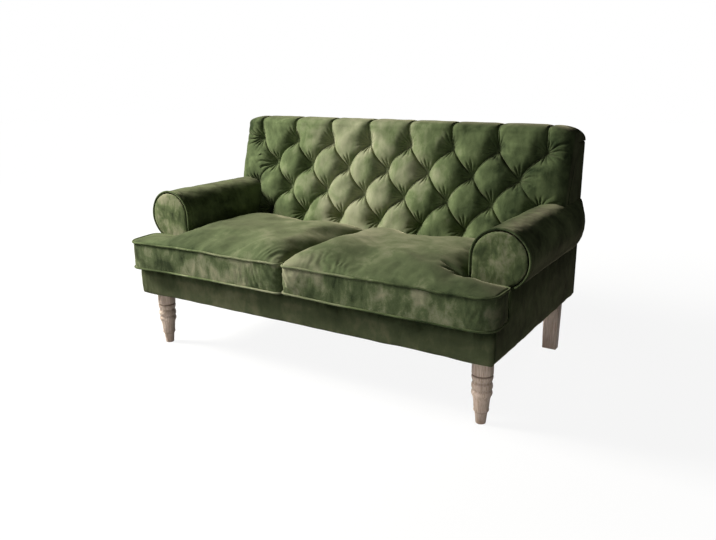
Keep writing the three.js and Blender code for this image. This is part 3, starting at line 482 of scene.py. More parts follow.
# %% Helpers that finish a piece
def finish_piece(cloth, name, material, slot, body, *nodes, side=1):
    """The piece in metres, on its body, in place of its nodes. Side -1 mirrors it to the left."""
    bmesh.ops.scale(cloth, vec=(side, 1, 1), verts=cloth.verts)
    bmesh.ops.recalc_face_normals(cloth, faces=cloth.faces)
    bmesh.ops.scale(cloth, vec=(MM, MM, MM), verts=cloth.verts)
    mesh = bpy.data.meshes.new(name)
    cloth.to_mesh(mesh)
    cloth.free()
    mesh.shade_smooth()
    mesh.set_sharp_from_angle(angle=math.radians(50))
    mesh.materials.append(material)
    return fixed_piece(mesh, name, slot, body, *nodes)


def fixed_piece(mesh, name, slot, body, *nodes):
    piece = bpy.data.objects.new(name, mesh)
    bpy.context.collection.objects.link(piece)
    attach(piece, body)
    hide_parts(*nodes)
    print(f"{name}: {len(mesh.polygons)} faces, on {body}")
    return piece


# %% Helpers for waves
def ripples(points, size, seed):
    """Smooth random waves about size across, mostly between -1 and 1, at each point."""
    chance = np.random.default_rng(seed)
    total = np.zeros(len(points))
    waves = 14
    for _ in range(waves):
        heading = chance.normal(size=3)
        heading *= 2 * np.pi * chance.uniform(0.6, 1.5) / size / np.linalg.norm(heading)
        total += np.sin(points @ heading + chance.uniform(0, 2 * np.pi))
    return total / math.sqrt(waves)


def smooth_step(value, low, high):
    share = np.clip((value - low) / (high - low), 0, 1)
    return share * share * (3 - 2 * share)


# %% [markdown]
# The back is deep-buttoned. Velvet cut larger than the back is pulled down to thirty buttons in a
# diamond grid, and the spare cloth folds into creases from button to button. Simulating that needs
# hours, so the shape is worked out: each point stands off the buttons' plane by a pillow's height.
# The height drops in a funnel to each button, and a little less, with a puffy rim, at each crease
# that runs from button to button. The folds are cut into that.

# %% Sizes of the back
back_low, back_high = corners_of("back_pad")
HALF = back_high.x
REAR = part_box("outside_back_panel")[1].y / MM
RAKE = math.radians(15.2)
BUTTONS_ACROSS, BUTTON_ROWS = 8, 4
TOP_BUTTON_Z = 786.0
PIT_Y = REAR - 149.0
TUFT_DEPTH = 52.0
PILLOW_REACH, CREASE_REACH = 88.0, 54.0  # where the cloth has risen from a button and from a crease
CREASE_DEPTH, PLEAT_DEPTH, FAINT_DEPTH = 0.58, 0.46, 0.22  # as shares of the height
RIDGE = (REAR - 111.0, 888.0)
SHELF_Z = 825.6
FOOT_Z = back_low.z
BUTTON_PITCH = 2 * HALF / BUTTONS_ACROSS
ROW_PITCH = 103.8
FACE_OUT = np.array((0, -math.cos(RAKE), math.sin(RAKE)))
FACE_UP = np.array((0, math.sin(RAKE), math.cos(RAKE)))

buttons = np.array([
    ((i - (BUTTONS_ACROSS - row % 2 - 1) / 2) * BUTTON_PITCH, -row * ROW_PITCH)
    for row in range(BUTTON_ROWS)
    for i in range(BUTTONS_ACROSS - row % 2)
])
creases = [
    (a, b)
    for a in buttons
    for b in buttons
    if abs(b[1] - a[1] + ROW_PITCH) < 1 and abs(abs(b[0] - a[0]) - BUTTON_PITCH / 2) < 1
]
pleats = [(a, a + (0, 2 * ROW_PITCH)) for a in buttons if a[1] > -1]
tucks = [(a, a - (0, 2 * ROW_PITCH)) for a in buttons if a[1] < -2.5 * ROW_PITCH]
print("buttons", len(buttons), "creases", len(creases) + len(pleats) + len(tucks))

# %% [markdown]
# Close to each button the cloth is gathered into a fan of small folds, longest above and below the
# button, and each crease is doubled by the fold that it hides. They could be drawn in the material's
# bump, but real folds cast shadows and show in the outline, so both are cut from the pillows' heights.

# %% Creases and grooves
def distance_to(spots, start, end):
    line = end - start
    share = np.clip((spots - start) @ line / (line @ line), 0, 1)
    return np.linalg.norm(spots - start - share[:, None] * line, axis=1), share


def rising(distance, reach, fullness):
    """From 0 at a crease to 1 at its reach, where it is level. A low fullness gives a puffy rim."""
    share = np.clip(distance / reach, 0, 1)
    return (1 - (1 - share) ** 2.3) ** fullness


def groove(offset, width):
    return np.exp(-((offset / width) ** 2))


# %% Folds at the buttons
def fan_of_folds(spots, nearest, to_button):
    """Small folds that run out from each button, deepest straight above it and below it on the left."""
    away = spots - buttons[nearest]
    angle = np.arctan2(away[:, 1], away[:, 0])
    phase = nearest * 1.7
    below = np.mod(angle, 2 * math.pi) - math.radians(245)
    outermost = abs(buttons[nearest][:, 0]) > 550
    outwards = np.cos(angle) * np.sign(buttons[nearest][:, 0]) * outermost
    strength = 0.2 + 0.8 * groove(angle - math.pi / 2, 0.62) + 0.7 * groove(below, 0.65)
    edgeward = smooth_step(outwards, 0.6, 0.95)
    strength += 0.6 * edgeward
    reach = 18 + 5 * np.sin(3 * angle + phase) + 30 * edgeward
    waves = np.cos(15 * angle + phase + 0.7 * np.sin(2 * angle + phase) + 0.5 * np.sin(to_button / 9 + phase))
    folded = strength * groove(to_button - 26 - 14 * edgeward, reach) * smooth_step(to_button, 6, 14)
    return 9.0 * np.minimum(folded, 1) * (0.5 + 0.5 * waves) ** 2.4


# %% Height of the velvet over the buttons' plane
def velvet_height(spots):
    to_each = np.linalg.norm(spots[:, None, :] - buttons[None, :, :], axis=2)
    nearest = to_each.argmin(axis=1)
    to_button = to_each.min(axis=1)
    height = TUFT_DEPTH * rising(to_button, PILLOW_REACH, 0.66)
    folds = fan_of_folds(spots, nearest, to_button)
    for start, end in creases + pleats + tucks:
        distance, share = distance_to(spots, start, end)
        along = np.clip(1 - abs(2 * share - 1) ** 4, 0, 1) * (share > 0) * (share < 1)
        if abs(end[0] - start[0]) < 1:
            # a pleat runs up from the top row as a double fold, a tuck runs down from the lowest
            depth = PLEAT_DEPTH
            offset = spots[:, 0] - start[0]
            upper = along if end[1] > start[1] else 0
            folds += upper * (4.5 * groove(offset, 2.2) + 4.0 * groove(offset - 9, 2.0))
        else:
            across = np.array((end[1] - start[1], start[0] - end[0]))
            across *= np.sign(across[1]) / np.linalg.norm(across)
            offset = (spots - start) @ across
            # low at the two ends the cloth is pulled flat, and its creases are faint
            faint = abs(end[0]) > 600 and end[1] < -1.5 * ROW_PITCH
            depth = FAINT_DEPTH if faint else CREASE_DEPTH
            folds += (2.0 if faint else 6.0) * along * groove(offset, 2.2)
            if end[0] < start[0] and not faint:
                beside = 8.5 * np.sin(math.pi * share) ** 0.6
                folds += 5.0 * along * groove(offset + beside, 2.0)
        height *= 1 - depth * (1 - rising(distance, CREASE_REACH, 0.44))
    return height - folds


# %% [markdown]
# One sheet goes right round the back: up the face, over the ridge, down to the outside back and in
# again behind the pad. At the two ends it is drawn in along a quarter circle, so that the face rolls
# round into the flat side that shows beside it. A front and a back sheet would need a seam along the
# ridge, which the real one doesn't have.

# %% Sizes of the sheet over the back
FRONT_ROWS, TURN_ROWS, OVER_ROWS, INNER_ROWS = 300, 28, 16, 6
COLUMNS, END_COLUMNS, END_WIDTH, END_DEPTH = 800, 56, 92.0, 48.0
rows = FRONT_ROWS + TURN_ROWS + OVER_ROWS + INNER_ROWS
FOOT_UP = (FOOT_Z - TOP_BUTTON_Z) / math.cos(RAKE)
TURN_UP = 58.0
EDGE_RISE = 44.0  # the turned edge, unrolled
END_SINK, END_DROP = 14.0, 26.0  # how far the ends lie behind the buttons' plane, and below the ridge
FOOT_HALF = 738.2  # half the width of the sheet's foot, between the outside panels
print("faces over the back:", COLUMNS * rows)


# %% The buttoned back
def back_place(across, along):
    from_middle = abs(2 * across - 1)
    straight = 1 - 2 * END_COLUMNS / COLUMNS
    bend = np.clip((from_middle - straight) / (1 - straight), 0, 1) * math.pi / 2
    x = np.minimum(from_middle / straight, 1) * (HALF - END_WIDTH) + END_WIDTH * np.sin(bend)
    x *= np.sign(across - 0.5)
    drawn_in = 1 - np.cos(bend)
    step = along * rows
    points = np.zeros((len(x), 3))
    points[:, 0] = x
    # up the face, then round the front edge to the ridge
    up = np.where(step < FRONT_ROWS, FOOT_UP + (TURN_UP - FOOT_UP) * step / FRONT_ROWS, TURN_UP)
    turn = np.clip((step - FRONT_ROWS) / TURN_ROWS, 0, 1) * math.pi / 2
    foot = np.array((0, PIT_Y, TOP_BUTTON_Z)) + up[:, None] * FACE_UP
    foot[:, 1] += (RIDGE[0] - foot[:, 1]) * (1 - np.cos(turn))
    foot[:, 2] += (RIDGE[1] - foot[:, 2]) * np.sin(turn)
    rise = up + EDGE_RISE * np.sin(turn)
    height = velvet_height(np.column_stack((x, rise)))
    height += 1.6 * ripples(np.column_stack((x, rise, 0 * x)), 75, 3)
    height *= 1 - np.sin(turn) ** 3
    height *= 1 - 0.55 * smooth_step(-rise, 400, 470)
    height = np.maximum(height - END_DEPTH * drawn_in, -END_SINK)
    face = foot + height[:, None] * FACE_OUT
    face[:, 2] -= END_DROP * drawn_in * np.sin(turn) ** 2
    # the pleats notch the ridge and fade out behind it
    past = np.clip((step - FRONT_ROWS - TURN_ROWS) / OVER_ROWS, 0, 1)
    to_pleat = np.min([abs(x - start[0]) for start, _ in pleats], axis=0)
    notch = 5.0 * groove(to_pleat - 3.4, 2.6) + 3.0 * groove(to_pleat, 16)
    notch *= np.sin(turn) ** 2 * (1 - smooth_step(past, 0.25, 0.9))
    over = past * math.pi / 2
    ridge_y = RIDGE[0] + END_SINK * drawn_in * math.cos(RAKE)
    ridge_z = RIDGE[1] - END_DROP * drawn_in - END_SINK * drawn_in * math.sin(RAKE)
    back = np.column_stack((
        x,
        ridge_y + (REAR - 0.3 - ridge_y) * np.sin(over),
        SHELF_Z + (ridge_z - SHELF_Z) * np.cos(over),
    ))
    outwards = np.column_stack((0 * x, np.sin(over), np.cos(over)))
    back += 0.8 * ripples(back, 90, 5)[:, None] * outwards * np.cos(over)[:, None]
    points[:, 1:] = np.where((step <= FRONT_ROWS + TURN_ROWS)[:, None], face[:, 1:], back[:, 1:])
    points[:, 2] -= notch
    # in behind the pad, where nothing shows
    inner = np.clip((step - rows + INNER_ROWS) / INNER_ROWS, 0, 1)
    hidden = step > rows - INNER_ROWS
    rear_of_pad = PIT_Y + 28 / math.cos(RAKE)
    z = SHELF_Z + (FOOT_Z - SHELF_Z) * np.clip((inner - 0.2) / 0.6, 0, 1)
    y = rear_of_pad + (z - TOP_BUTTON_Z) * math.tan(RAKE)
    y = np.where(inner < 0.2, REAR + (y - REAR) * inner / 0.2, y)
    points[hidden, 1] = y[hidden]
    points[hidden, 2] = z[hidden]
    # the last row comes round to the first one, so that the sheet closes under the pad
    start = np.flatnonzero(along < 1e-6)
    start = start[np.argsort(across[start])]
    home = np.clip((inner - 0.8) / 0.2, 0, 1)
    for axis in (1, 2):
        points[:, axis] += home * (np.interp(across, across[start], face[start, axis]) - points[:, axis])
    # below the rolls the sheet stays inside the outside panels
    points[:, 0] *= 1 - (1 - FOOT_HALF / HALF) * (1 - smooth_step(points[:, 2], 426, 434))
    return points


cloth = wrapped_cloth(COLUMNS, rows, back_place)
close_up(cloth, 0.02)
buttoned_back = finish_piece(cloth, "buttoned_back", green_velvet, "velvet", "sofa", "back_pad")

# %% [markdown]
# A covered button is a shallow dome with a tight rim. A squashed sphere would do from far away, but a
# profile spun round the button's own axis gives the rim too. A twine and a strap of webbing hold each
# row of buttons from behind, as in the solid that it replaces.

# %% Buttons
TWINE = {"cap_ends": True, "segments": 10, "radius1": 1.5, "radius2": 1.5, "depth": 32}
STRAP_SIZE = (2 * 738, 46, 2)
BUTTON_PROFILE = [
    (0, 0), (8, 0), (10.6, 0.8), (11, 2.2), (10.4, 3.9), (8.4, 5.6), (5.6, 6.6), (2.8, 7.0), (0, 7.1),
]


def onto_face(x, up, out):
    """Matrix that stands a piece made along +Z on the back's face."""
    axes = Matrix(((1, 0, 0), tuple(FACE_UP), tuple(FACE_OUT))).transposed().to_4x4()
    foot = np.array((x, PIT_Y, TOP_BUTTON_Z)) + up * FACE_UP + out * FACE_OUT
    return Matrix.Translation(foot) @ axes


def spun(profile, steps):
    """A profile of radii and heights, spun round the Z axis."""
    turned = bmesh.new()
    verts = [turned.verts.new((radius, 0, height)) for radius, height in profile]
    edges = [turned.edges.new(pair) for pair in zip(verts, verts[1:])]
    circle = {"cent": (0, 0, 0), "axis": (0, 0, 1), "angle": 2 * math.pi}
    bmesh.ops.spin(turned, geom=verts + edges, steps=steps, use_merge=True, **circle)
    bmesh.ops.remove_doubles(turned, verts=turned.verts, dist=0.001)
    bmesh.ops.recalc_face_normals(turned, faces=turned.faces)
    return turned


for row in range(BUTTON_ROWS):
    row_mesh = bmesh.new()
    for x, up in buttons[abs(buttons[:, 1] + row * ROW_PITCH) < 1]:
        button = spun(BUTTON_PROFILE, 24)
        bmesh.ops.transform(button, matrix=onto_face(x, up, -3), verts=button.verts)
        loose = bpy.data.meshes.new("loose")
        button.to_mesh(loose)
        button.free()
        row_mesh.from_mesh(loose)
        bpy.data.meshes.remove(loose)
        bmesh.ops.create_cone(row_mesh, matrix=onto_face(x, up, -14), **TWINE)
    strap = onto_face(0, -row * ROW_PITCH, -29.4) @ Matrix.Diagonal((*STRAP_SIZE, 1))
    bmesh.ops.create_cube(row_mesh, size=1, matrix=strap)
    name, node = f"covered_buttons_{row + 1}", f"button_row_{row + 1}"
    finish_piece(row_mesh, name, green_velvet, "velvet", "sofa", node)

# %% [markdown]
# An arm is a wad of padding over a board, pulled smooth. Its section goes up the inner side, over
# the roll and under to the lip that overhangs the outside panel, then back round the board. A
# cylinder and a box would show a seam where they meet, so one sheet follows the whole section from
# the facing to the rear, and the overhang dies away beside the back.

# %% Sizes of the arms
arm_low, arm_high = corners_of("arm_pad_right")
ROLL_RADIUS = 100.0
ROLL_X, ROLL_Z = arm_high.x - ROLL_RADIUS, 520.0
ARM_FRONT, ARM_END = arm_low.y, arm_high.y
LIP_X = HALF + 0.3
LIP_ANGLE = -math.acos((LIP_X - ROLL_X) / ROLL_RADIUS)
LIP_Z = ROLL_Z + ROLL_RADIUS * math.sin(LIP_ANGLE)
BOARD_INNER, BOARD_OUTER, BOARD_TOP = 654.2, 739.2, 500.4


def roll_arc(radius, last_angle, steps=60):
    """Points over the roll, from its inner side to the last angle."""
    angles = np.linspace(math.pi, last_angle, steps)
    return [(ROLL_X + radius * math.cos(a), ROLL_Z + radius * math.sin(a)) for a in angles]


def along_line(line, shares):
    """Points at shares of the way along a line of points in a plane."""
    line = np.array(line)
    length = np.concatenate(([0], np.cumsum(np.linalg.norm(np.diff(line, axis=0), axis=1))))
    return np.column_stack([np.interp(shares * length[-1], length, line[:, axis]) for axis in (0, 1)])


arm_section = [(ROLL_X - ROLL_RADIUS, FOOT_Z), *roll_arc(ROLL_RADIUS, LIP_ANGLE)]
arm_section += [(BOARD_OUTER, LIP_Z), (BOARD_OUTER, BOARD_TOP)]
arm_section += [(BOARD_INNER, BOARD_TOP), (BOARD_INNER, FOOT_Z), arm_section[0]]
print("arms from", round(ARM_FRONT), "to", round(ARM_END), "mm, lip at", round(LIP_Z), "mm up")

# %% The arms
SHOWN_INSIDE, SHOWN_OUTSIDE, SHOWN_ABOVE = 640, 752, 505  # the cover ripples only where it shows
FRONT_OF_PAD = Vector((0, PIT_Y, TOP_BUTTON_Z)) + Vector(FACE_OUT) * 22


def arm_place(side):
    def place(across, along):
        section = along_line(arm_section, across)
        y = ARM_FRONT + (ARM_END - ARM_FRONT) * along
        points = np.column_stack((section[:, 0], y, section[:, 1]))
        fall = np.clip(1 - (ARM_END - y) / 198, 0, 1)
        outside = points[:, 0] > LIP_X
        points[outside, 0] = LIP_X + (points[outside, 0] - LIP_X) * (1 - 0.66 * fall[outside] ** 2)
        outwards = np.column_stack((points[:, 0] - ROLL_X, 0 * y, points[:, 2] - ROLL_Z))
        outwards /= np.maximum(1, np.linalg.norm(outwards, axis=1))[:, None]
        shown = (points[:, 0] < SHOWN_INSIDE) | (points[:, 2] > SHOWN_ABOVE) | (points[:, 0] > SHOWN_OUTSIDE)
        waves = 0.9 * ripples(points, 120, 11 + side) + 0.35 * ripples(points, 34, 13 + side)
        # the cover is tacked a finger's width behind the welt, and a faint seam shows there
        seam = 1.6 * groove(y - ARM_FRONT - 22, 2.4)
        wander = 2 * ripples(points, 60, 17)
        puckers = 0.5 * np.exp(-(y - ARM_FRONT) / 26) * np.sin(points[:, 2] / 3.1 + wander)
        points += outwards * ((waves - 0.9 + puckers - seam) * shown)[:, None]
        return points

    return place


def behind_pad(face):
    """Inside the outer panel and behind the back's face, where the back pad takes over."""
    centre = face.calc_center_median()
    return centre.x < LIP_X and (centre - FRONT_OF_PAD).dot(Vector(FACE_OUT)) < 0


for side, hand in SIDES:
    cloth = wrapped_cloth(150, 170, arm_place(side))
    bmesh.ops.remove_doubles(cloth, verts=cloth.verts, dist=0.02)
    for point, normal in ((FRONT_OF_PAD, Vector(FACE_OUT)), ((LIP_X, 0, 0), (1, 0, 0))):
        everything = cloth.verts[:] + cloth.edges[:] + cloth.faces[:]
        bmesh.ops.bisect_plane(cloth, geom=everything, plane_co=point, plane_no=normal)
    hidden = [face for face in cloth.faces if behind_pad(face)]
    bmesh.ops.delete(cloth, geom=hidden, context="FACES")
    close_up(cloth, 0.02)
    nodes = [f"arm_pad_{hand}"]
    arm = finish_piece(cloth, f"rolled_arm_{hand}", green_velvet, "velvet", "sofa", *nodes, side=side)

# %% [markdown]
# The facing is a thin padded shield nailed over the arm's front. It could be an outline pushed to its
# thickness, but that leaves its front flat. So its sheet runs from a middle point out to the rim and
# back over the edge, crowned a few millimetres and dented where hands push it.

# %% Arm facings
FACING_RADIUS = 89.0
FACING_EYE = np.array((688.0, 500.0))
RIM_SHARE = 0.8  # of the sheet lies in front, the rest goes back over the edge
facing_low, facing_high = corners_of("arm_facing_right")
facing_end = -math.acos((facing_high.x - 57 - ROLL_X) / FACING_RADIUS)
facing_line = [(facing_low.x, FOOT_Z), *roll_arc(FACING_RADIUS, facing_end)]
facing_line += [(facing_line[-1][0], FOOT_Z), facing_line[0]]


def facing_place(side):
    def place(across, along):
        rim = along_line(facing_line, across)
        reach = np.clip(along / RIM_SHARE, 0, 1)
        spot = FACING_EYE + (rim - FACING_EYE) * reach[:, None] ** 0.85
        over = np.clip((along - RIM_SHARE) / (1 - RIM_SHARE), 0, 1)
        depth = facing_high.y - facing_low.y
        crown = np.sqrt(np.clip(1 - reach**6, 0, 1))
        y = facing_low.y + 5 - 5 * crown + (depth - 5) * over
        outwards = (rim - FACING_EYE) / np.linalg.norm(rim - FACING_EYE, axis=1)[:, None]
        spot -= outwards * (1.5 * over**2)[:, None]
        points = np.column_stack((spot[:, 0], y, spot[:, 1]))
        creases = 1.6 * ripples(points * (1, 1, 0.6), 70, 23 + side) + 0.5 * ripples(points, 24, 29 + side)
        points[:, 1] += 0.5 * creases * crown * (over == 0)
        return points

    return place


for side, hand in SIDES:
    cloth = wrapped_cloth(160, 60, facing_place(side))
    close_up(cloth)
    nodes = [f"arm_facing_{hand}"]
    facing = finish_piece(cloth, f"facing_{hand}", facing_velvet, "velvet", "sofa", *nodes, side=side)

# %% [markdown]
# Piping is a cord wrapped in the same velvet and sewn into a seam. A circle swept along the seam
# would do, and that is what a curve with a round bevel is, which becomes a mesh once it is in place.
# The welt round each facing is piping too.

# %% Piping
def piping(name, points, radius, closed, body, *nodes):
    line = bpy.data.curves.new(name, "CURVE")
    line.dimensions = "3D"
    line.bevel_depth = radius * MM
    line.bevel_resolution = 4
    line.use_fill_caps = True
    strand = line.splines.new("POLY")
    strand.points.add(len(points) - 1)
    for point, spot in zip(strand.points, points):
        point.co = (*(np.array(spot) * MM), 1)
    strand.use_cyclic_u = closed
    holder = bpy.data.objects.new(name, line)
    bpy.context.collection.objects.link(holder)
    mesh = bpy.data.meshes.new_from_object(holder)
    bpy.data.objects.remove(holder)
    mesh.shade_smooth()
    mesh.materials.clear()
    mesh.materials.append(green_velvet)
    fixed_piece(mesh, name, "velvet", body, *nodes)


WELT_RADIUS = 4.0
welt_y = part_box("arm_welt_right")[1].y / MM - WELT_RADIUS
welt_arc = ROLL_RADIUS - 2.5
welt_end = -math.acos((LIP_X + 8 - ROLL_X) / welt_arc)
welt_start = (ROLL_X - welt_arc, FOOT_Z + 4)
welt_line = along_line([welt_start, *roll_arc(welt_arc, welt_end)], np.linspace(0, 1, 120))
for side, hand in SIDES:
    points = [(side * x, welt_y + 0.5 * math.sin(z / 17), z) for x, z in welt_line]
    piping(f"facing_welt_{hand}", points, WELT_RADIUS, False, "sofa", f"arm_welt_{hand}")

# %% [markdown]
# Flat covers go over the rails, the outside of the arms and the outside back. A plain box would have
# a dead flat face. So each starts as an outline of a few points, is pushed to its thickness and has
# its edges bevelled. A voxel remesh then gives it an even net of small faces, which can sag and
# ripple as cloth over wadding does.

# %% Helpers for covers
def remeshed(cloth, voxel):
    """An even net of quads over a closed shape, in millimetres."""
    mesh = bpy.data.meshes.new("shape")
    cloth.to_mesh(mesh)
    cloth.free()
    holder = bpy.data.objects.new("shape", mesh)
    bpy.context.collection.objects.link(holder)
    net = holder.modifiers.new("net", "REMESH")
    net.mode = "VOXEL"
    net.voxel_size = voxel
    result = bmesh.new()
    result.from_mesh(holder.evaluated_get(bpy.context.evaluated_depsgraph_get()).to_mesh())
    bpy.data.objects.remove(holder)
    bpy.data.meshes.remove(mesh)
    return result


def pushed_out(outline, push):
    """A closed shape: an outline of a few points, pushed to its thickness."""
    cloth = bmesh.new()
    face = cloth.faces.new([cloth.verts.new(point) for point in outline])
    pushed = bmesh.ops.extrude_face_region(cloth, geom=[face])["geom"]
    bmesh.ops.translate(cloth, vec=push, verts=[g for g in pushed if isinstance(g, bmesh.types.BMVert)])
    bmesh.ops.recalc_face_normals(cloth, faces=cloth.faces)
    return cloth


def eased(cloth, edges, width, segments=3):
    bmesh.ops.bevel(
        cloth, geom=edges, offset=width, affect="EDGES", segments=segments, profile=0.5, material=-1,
    )


def slab(outline, push, bevel, keep_square=lambda point: False):
    """A shape pushed out from an outline, its edges bevelled but for those kept square."""
    cloth = pushed_out(outline, push)
    edges = [edge for edge in cloth.edges if not all(keep_square(vert.co) for vert in edge.verts)]
    eased(cloth, edges, bevel)
    return cloth


def points_of(cloth):
    return np.array([vert.co[:] for vert in cloth.verts])


# %% Front border
border_low, border_high = corners_of("front_border")
outline = [
    (-HALF, border_low.y, border_low.z),
    (HALF, border_low.y, border_low.z),
    (HALF, border_high.y, border_low.z),
    (-HALF, border_high.y, border_low.z),
]
cloth = slab(outline, (0, 0, border_high.z - border_low.z), 4, lambda point: point.y > border_high.y - 1)
cloth = remeshed(cloth, 4.5)
points = points_of(cloth)
bulge = np.sin(math.pi * np.clip((points[:, 2] - border_low.z) / (border_high.z - border_low.z), 0, 1))
front = smooth_step(-points[:, 1], -border_low.y - 7, -border_low.y - 2)
# the two upright edges are rounded, and the cloth is gathered beside them
corner = np.clip((abs(points[:, 0]) - (HALF - 14)) / 14, 0, 1)
points[:, 1] += 12 * (1 - np.sqrt(1 - np.clip(corner, 0, 1) ** 2)) * front
points[:, 1] -= front * (1.5 * bulge + 1.1 * ripples(points, 130, 31) + 0.5 * ripples(points, 42, 33))
gather = groove(abs(points[:, 0]) - 715, 30)
points[:, 1] -= front * 0.9 * gather * np.sin(abs(points[:, 0]) / 2.6 + ripples(points, 50, 35))
# the left end stands out a little further
forward = smooth_step(-points[:, 1], -border_high.y, -border_low.y)
points[:, 0] -= 9 * smooth_step(-points[:, 0], 700, 748) * forward
# the lower edge wavers, and hangs a little lower over each front leg
sag = 0.8 * ripples(points, 110, 37) - 3.5 * groove(abs(points[:, 0]) - 690, 90)
points[:, 2] += smooth_step(-points[:, 2], -border_low.z - 8, -border_low.z) * sag
move_to(cloth, points)
# the front border's velvet is painted darker: painted shade under the cushions' overhang
cover = finish_piece(cloth, "front_border_cover", shaded_rail_velvet, "velvet", "sofa", "front_border")

# %% Outside side covers
side_low, side_high = corners_of("outside_side_panel_right")
under_lip = LIP_Z - 0.3
deck_top = border_high.z


def webbing_y(z):
    """Where the back's webbing is, at a height."""
    return PIT_Y + 28.3 / math.cos(RAKE) + (z - TOP_BUTTON_Z) * math.tan(RAKE)


def against_frame(point):
    """Where the panel lies against the arm's frame or the front border, and stays square."""
    return point.x < side_high.x - 1 or point.y < side_low.y + 1


side_outline = [
    (side_low.y, side_low.z),
    (side_high.y, side_low.z),
    (side_high.y, side_high.z),
    (webbing_y(side_high.z), side_high.z),
    (webbing_y(under_lip), under_lip),
    (facing_low.y, under_lip),
    (facing_low.y, deck_top),
    (side_low.y, deck_top),
]
for side, hand in SIDES:
    outline = [(side_low.x, y, z) for y, z in side_outline]
    cloth = remeshed(slab(outline, (side_high.x - side_low.x, 0, 0), 3, against_frame), 4.5)
    points = points_of(cloth)
    outer = smooth_step(points[:, 0], side_high.x - 6, side_high.x - 1)
    waves = 0.9 * ripples(points, 150, 41 + side) + 0.4 * ripples(points, 45, 43 + side)
    points[:, 0] += outer * (waves - 0.6)
    low_edge = smooth_step(-points[:, 2], -side_low.z - 10, -side_low.z)
    points[:, 2] += low_edge * (0.8 + 1.3 * ripples(points, 100, 47 + side))
    move_to(cloth, points)
    nodes = [f"outside_side_panel_{hand}"]
    cover = finish_piece(cloth, f"outside_cover_{hand}", green_velvet, "velvet", "sofa", *nodes, side=side)

# %% Outside back cover
rear_low, rear_high = corners_of("outside_back_panel")
outline = [
    (rear_low.x, rear_low.y, rear_low.z),
    (rear_high.x, rear_low.y, rear_low.z),
    (rear_high.x, rear_low.y, rear_high.z),
    (rear_low.x, rear_low.y, rear_high.z),
]
cloth = remeshed(slab(outline, (0, rear_high.y - rear_low.y, 0), 4), 5.5)
points = points_of(cloth)
outer = smooth_step(points[:, 1], rear_high.y - 6, rear_high.y - 1)
points[:, 1] += outer * (1.2 * ripples(points, 190, 51) + 0.5 * ripples(points, 55, 53) - 0.8)
move_to(cloth, points)
cover = finish_piece(cloth, "outside_back_cover", green_velvet, "velvet", "sofa", "outside_back_panel")

# %% [markdown]
# Each seat cushion is a box of velvet in a T shape: a top and a bottom panel sewn with piping to a
# border, over a soft filling. A subdivided box would swell evenly and look like a bun. So the T is
# pushed to its height and remeshed, a crown is laid on its top, and cloth simulation then blows it up
# a little from inside while its seams stay put, with some spare cloth, so that it swells and puckers
# between the seams as a filled cover does.

# %% Sizes of the cushions
cushion_low, cushion_high = corners_of("cushion_cover_right")
EAR_BACK, BODY_SIDE, BODY_BACK = cushion_low.y + 158, 603.5, cushion_high.y
SEAM_LOW, SEAM_HIGH = cushion_low.z + 4.8, cushion_low.z + 108
SEAM_INSET = 6.5
CROWN, EAR_CROWN = 46.0, 14.0
T_CORNERS = [
    (cushion_low.x, cushion_low.y, 26, 1),
    (cushion_high.x, cushion_low.y, 58, 1),
    (cushion_high.x, EAR_BACK, 28, 1),
    (BODY_SIDE, EAR_BACK, 8, -1),
    (BODY_SIDE, BODY_BACK, 40, 1),
    (cushion_low.x, BODY_BACK, 26, 1),
]


def t_outline(inset, spacing=6.0):
    """The T drawn in by an inset: points along its straights and round its corners."""
    corners = [np.array(corner[:2]) for corner in T_CORNERS]
    points = []
    for i, (x, y, radius, bend) in enumerate(T_CORNERS):
        into = corners[i] - corners[i - 1]
        out = corners[(i + 1) % len(corners)] - corners[i]
        into, out = into / np.linalg.norm(into), out / np.linalg.norm(out)
        inwards = np.array((-into[1] - out[1], into[0] + out[0]))
        corner = corners[i] + inset * inwards
        size = radius - bend * inset
        centre = corner - size * into + size * out
        for angle in np.linspace(0, math.pi / 2, 9):
            points.append(centre - size * math.cos(angle) * out + size * math.sin(angle) * into)
    closed = np.array(points + [points[0]])
    total = np.linalg.norm(np.diff(closed, axis=0), axis=1).sum()
    return along_line(closed, np.linspace(0, 1, int(total / spacing), endpoint=False))


def hump(value, low, high, power, high_power=None):
    """1 in the middle, 0 at low and at high. A high power keeps it full until close to that end."""
    offset = np.clip((2 * value - low - high) / (high - low), -1, 1)
    return 1 - abs(offset) ** np.where(offset > 0, high_power or power, power)


def crown_at(x, y):
    quick = 3.0 + 3.5 * groove(x, 170)
    body = hump(x, cushion_low.x, BODY_SIDE, 8, 9) * hump(y, cushion_low.y, BODY_BACK, quick, 6)
    ear = hump(x, cushion_low.x, cushion_high.x, 4) * hump(y, cushion_low.y, EAR_BACK, 2.5)
    return np.maximum(CROWN * body, EAR_CROWN * ear) + 0.25 * np.minimum(CROWN * body, EAR_CROWN * ear)


def seam_sway(x, y):
    """How far a seam wanders up and down along its way."""
    return 1.3 * np.sin(x / 61 + 1) + 0.8 * np.sin(x / 23 + y / 31)


print("seams of the cushions", round(SEAM_LOW), "and", round(SEAM_HIGH), "mm up")


# %% The cushion before it is filled
def cushion_box():
    outline = [(x, y, SEAM_LOW - 3) for x, y in t_outline(SEAM_INSET, 12)]
    box = remeshed(pushed_out(outline, (0, 0, SEAM_HIGH - SEAM_LOW + 6)), 7.0)
    points = points_of(box)
    upper = smooth_step(points[:, 2], SEAM_HIGH - 20, SEAM_HIGH)
    points[:, 2] += upper * crown_at(points[:, 0], points[:, 1])
    points[:, 2] += seam_sway(points[:, 0], points[:, 1]) * upper
    sway_below = seam_sway(points[:, 1] + 90, points[:, 0]) * (1 - upper)
    points[:, 2] += sway_below * smooth_step(points[:, 2], SEAM_LOW - 6, SEAM_LOW)
    move_to(box, points)
    bmesh.ops.scale(box, vec=(MM, MM, MM), verts=box.verts)
    return box


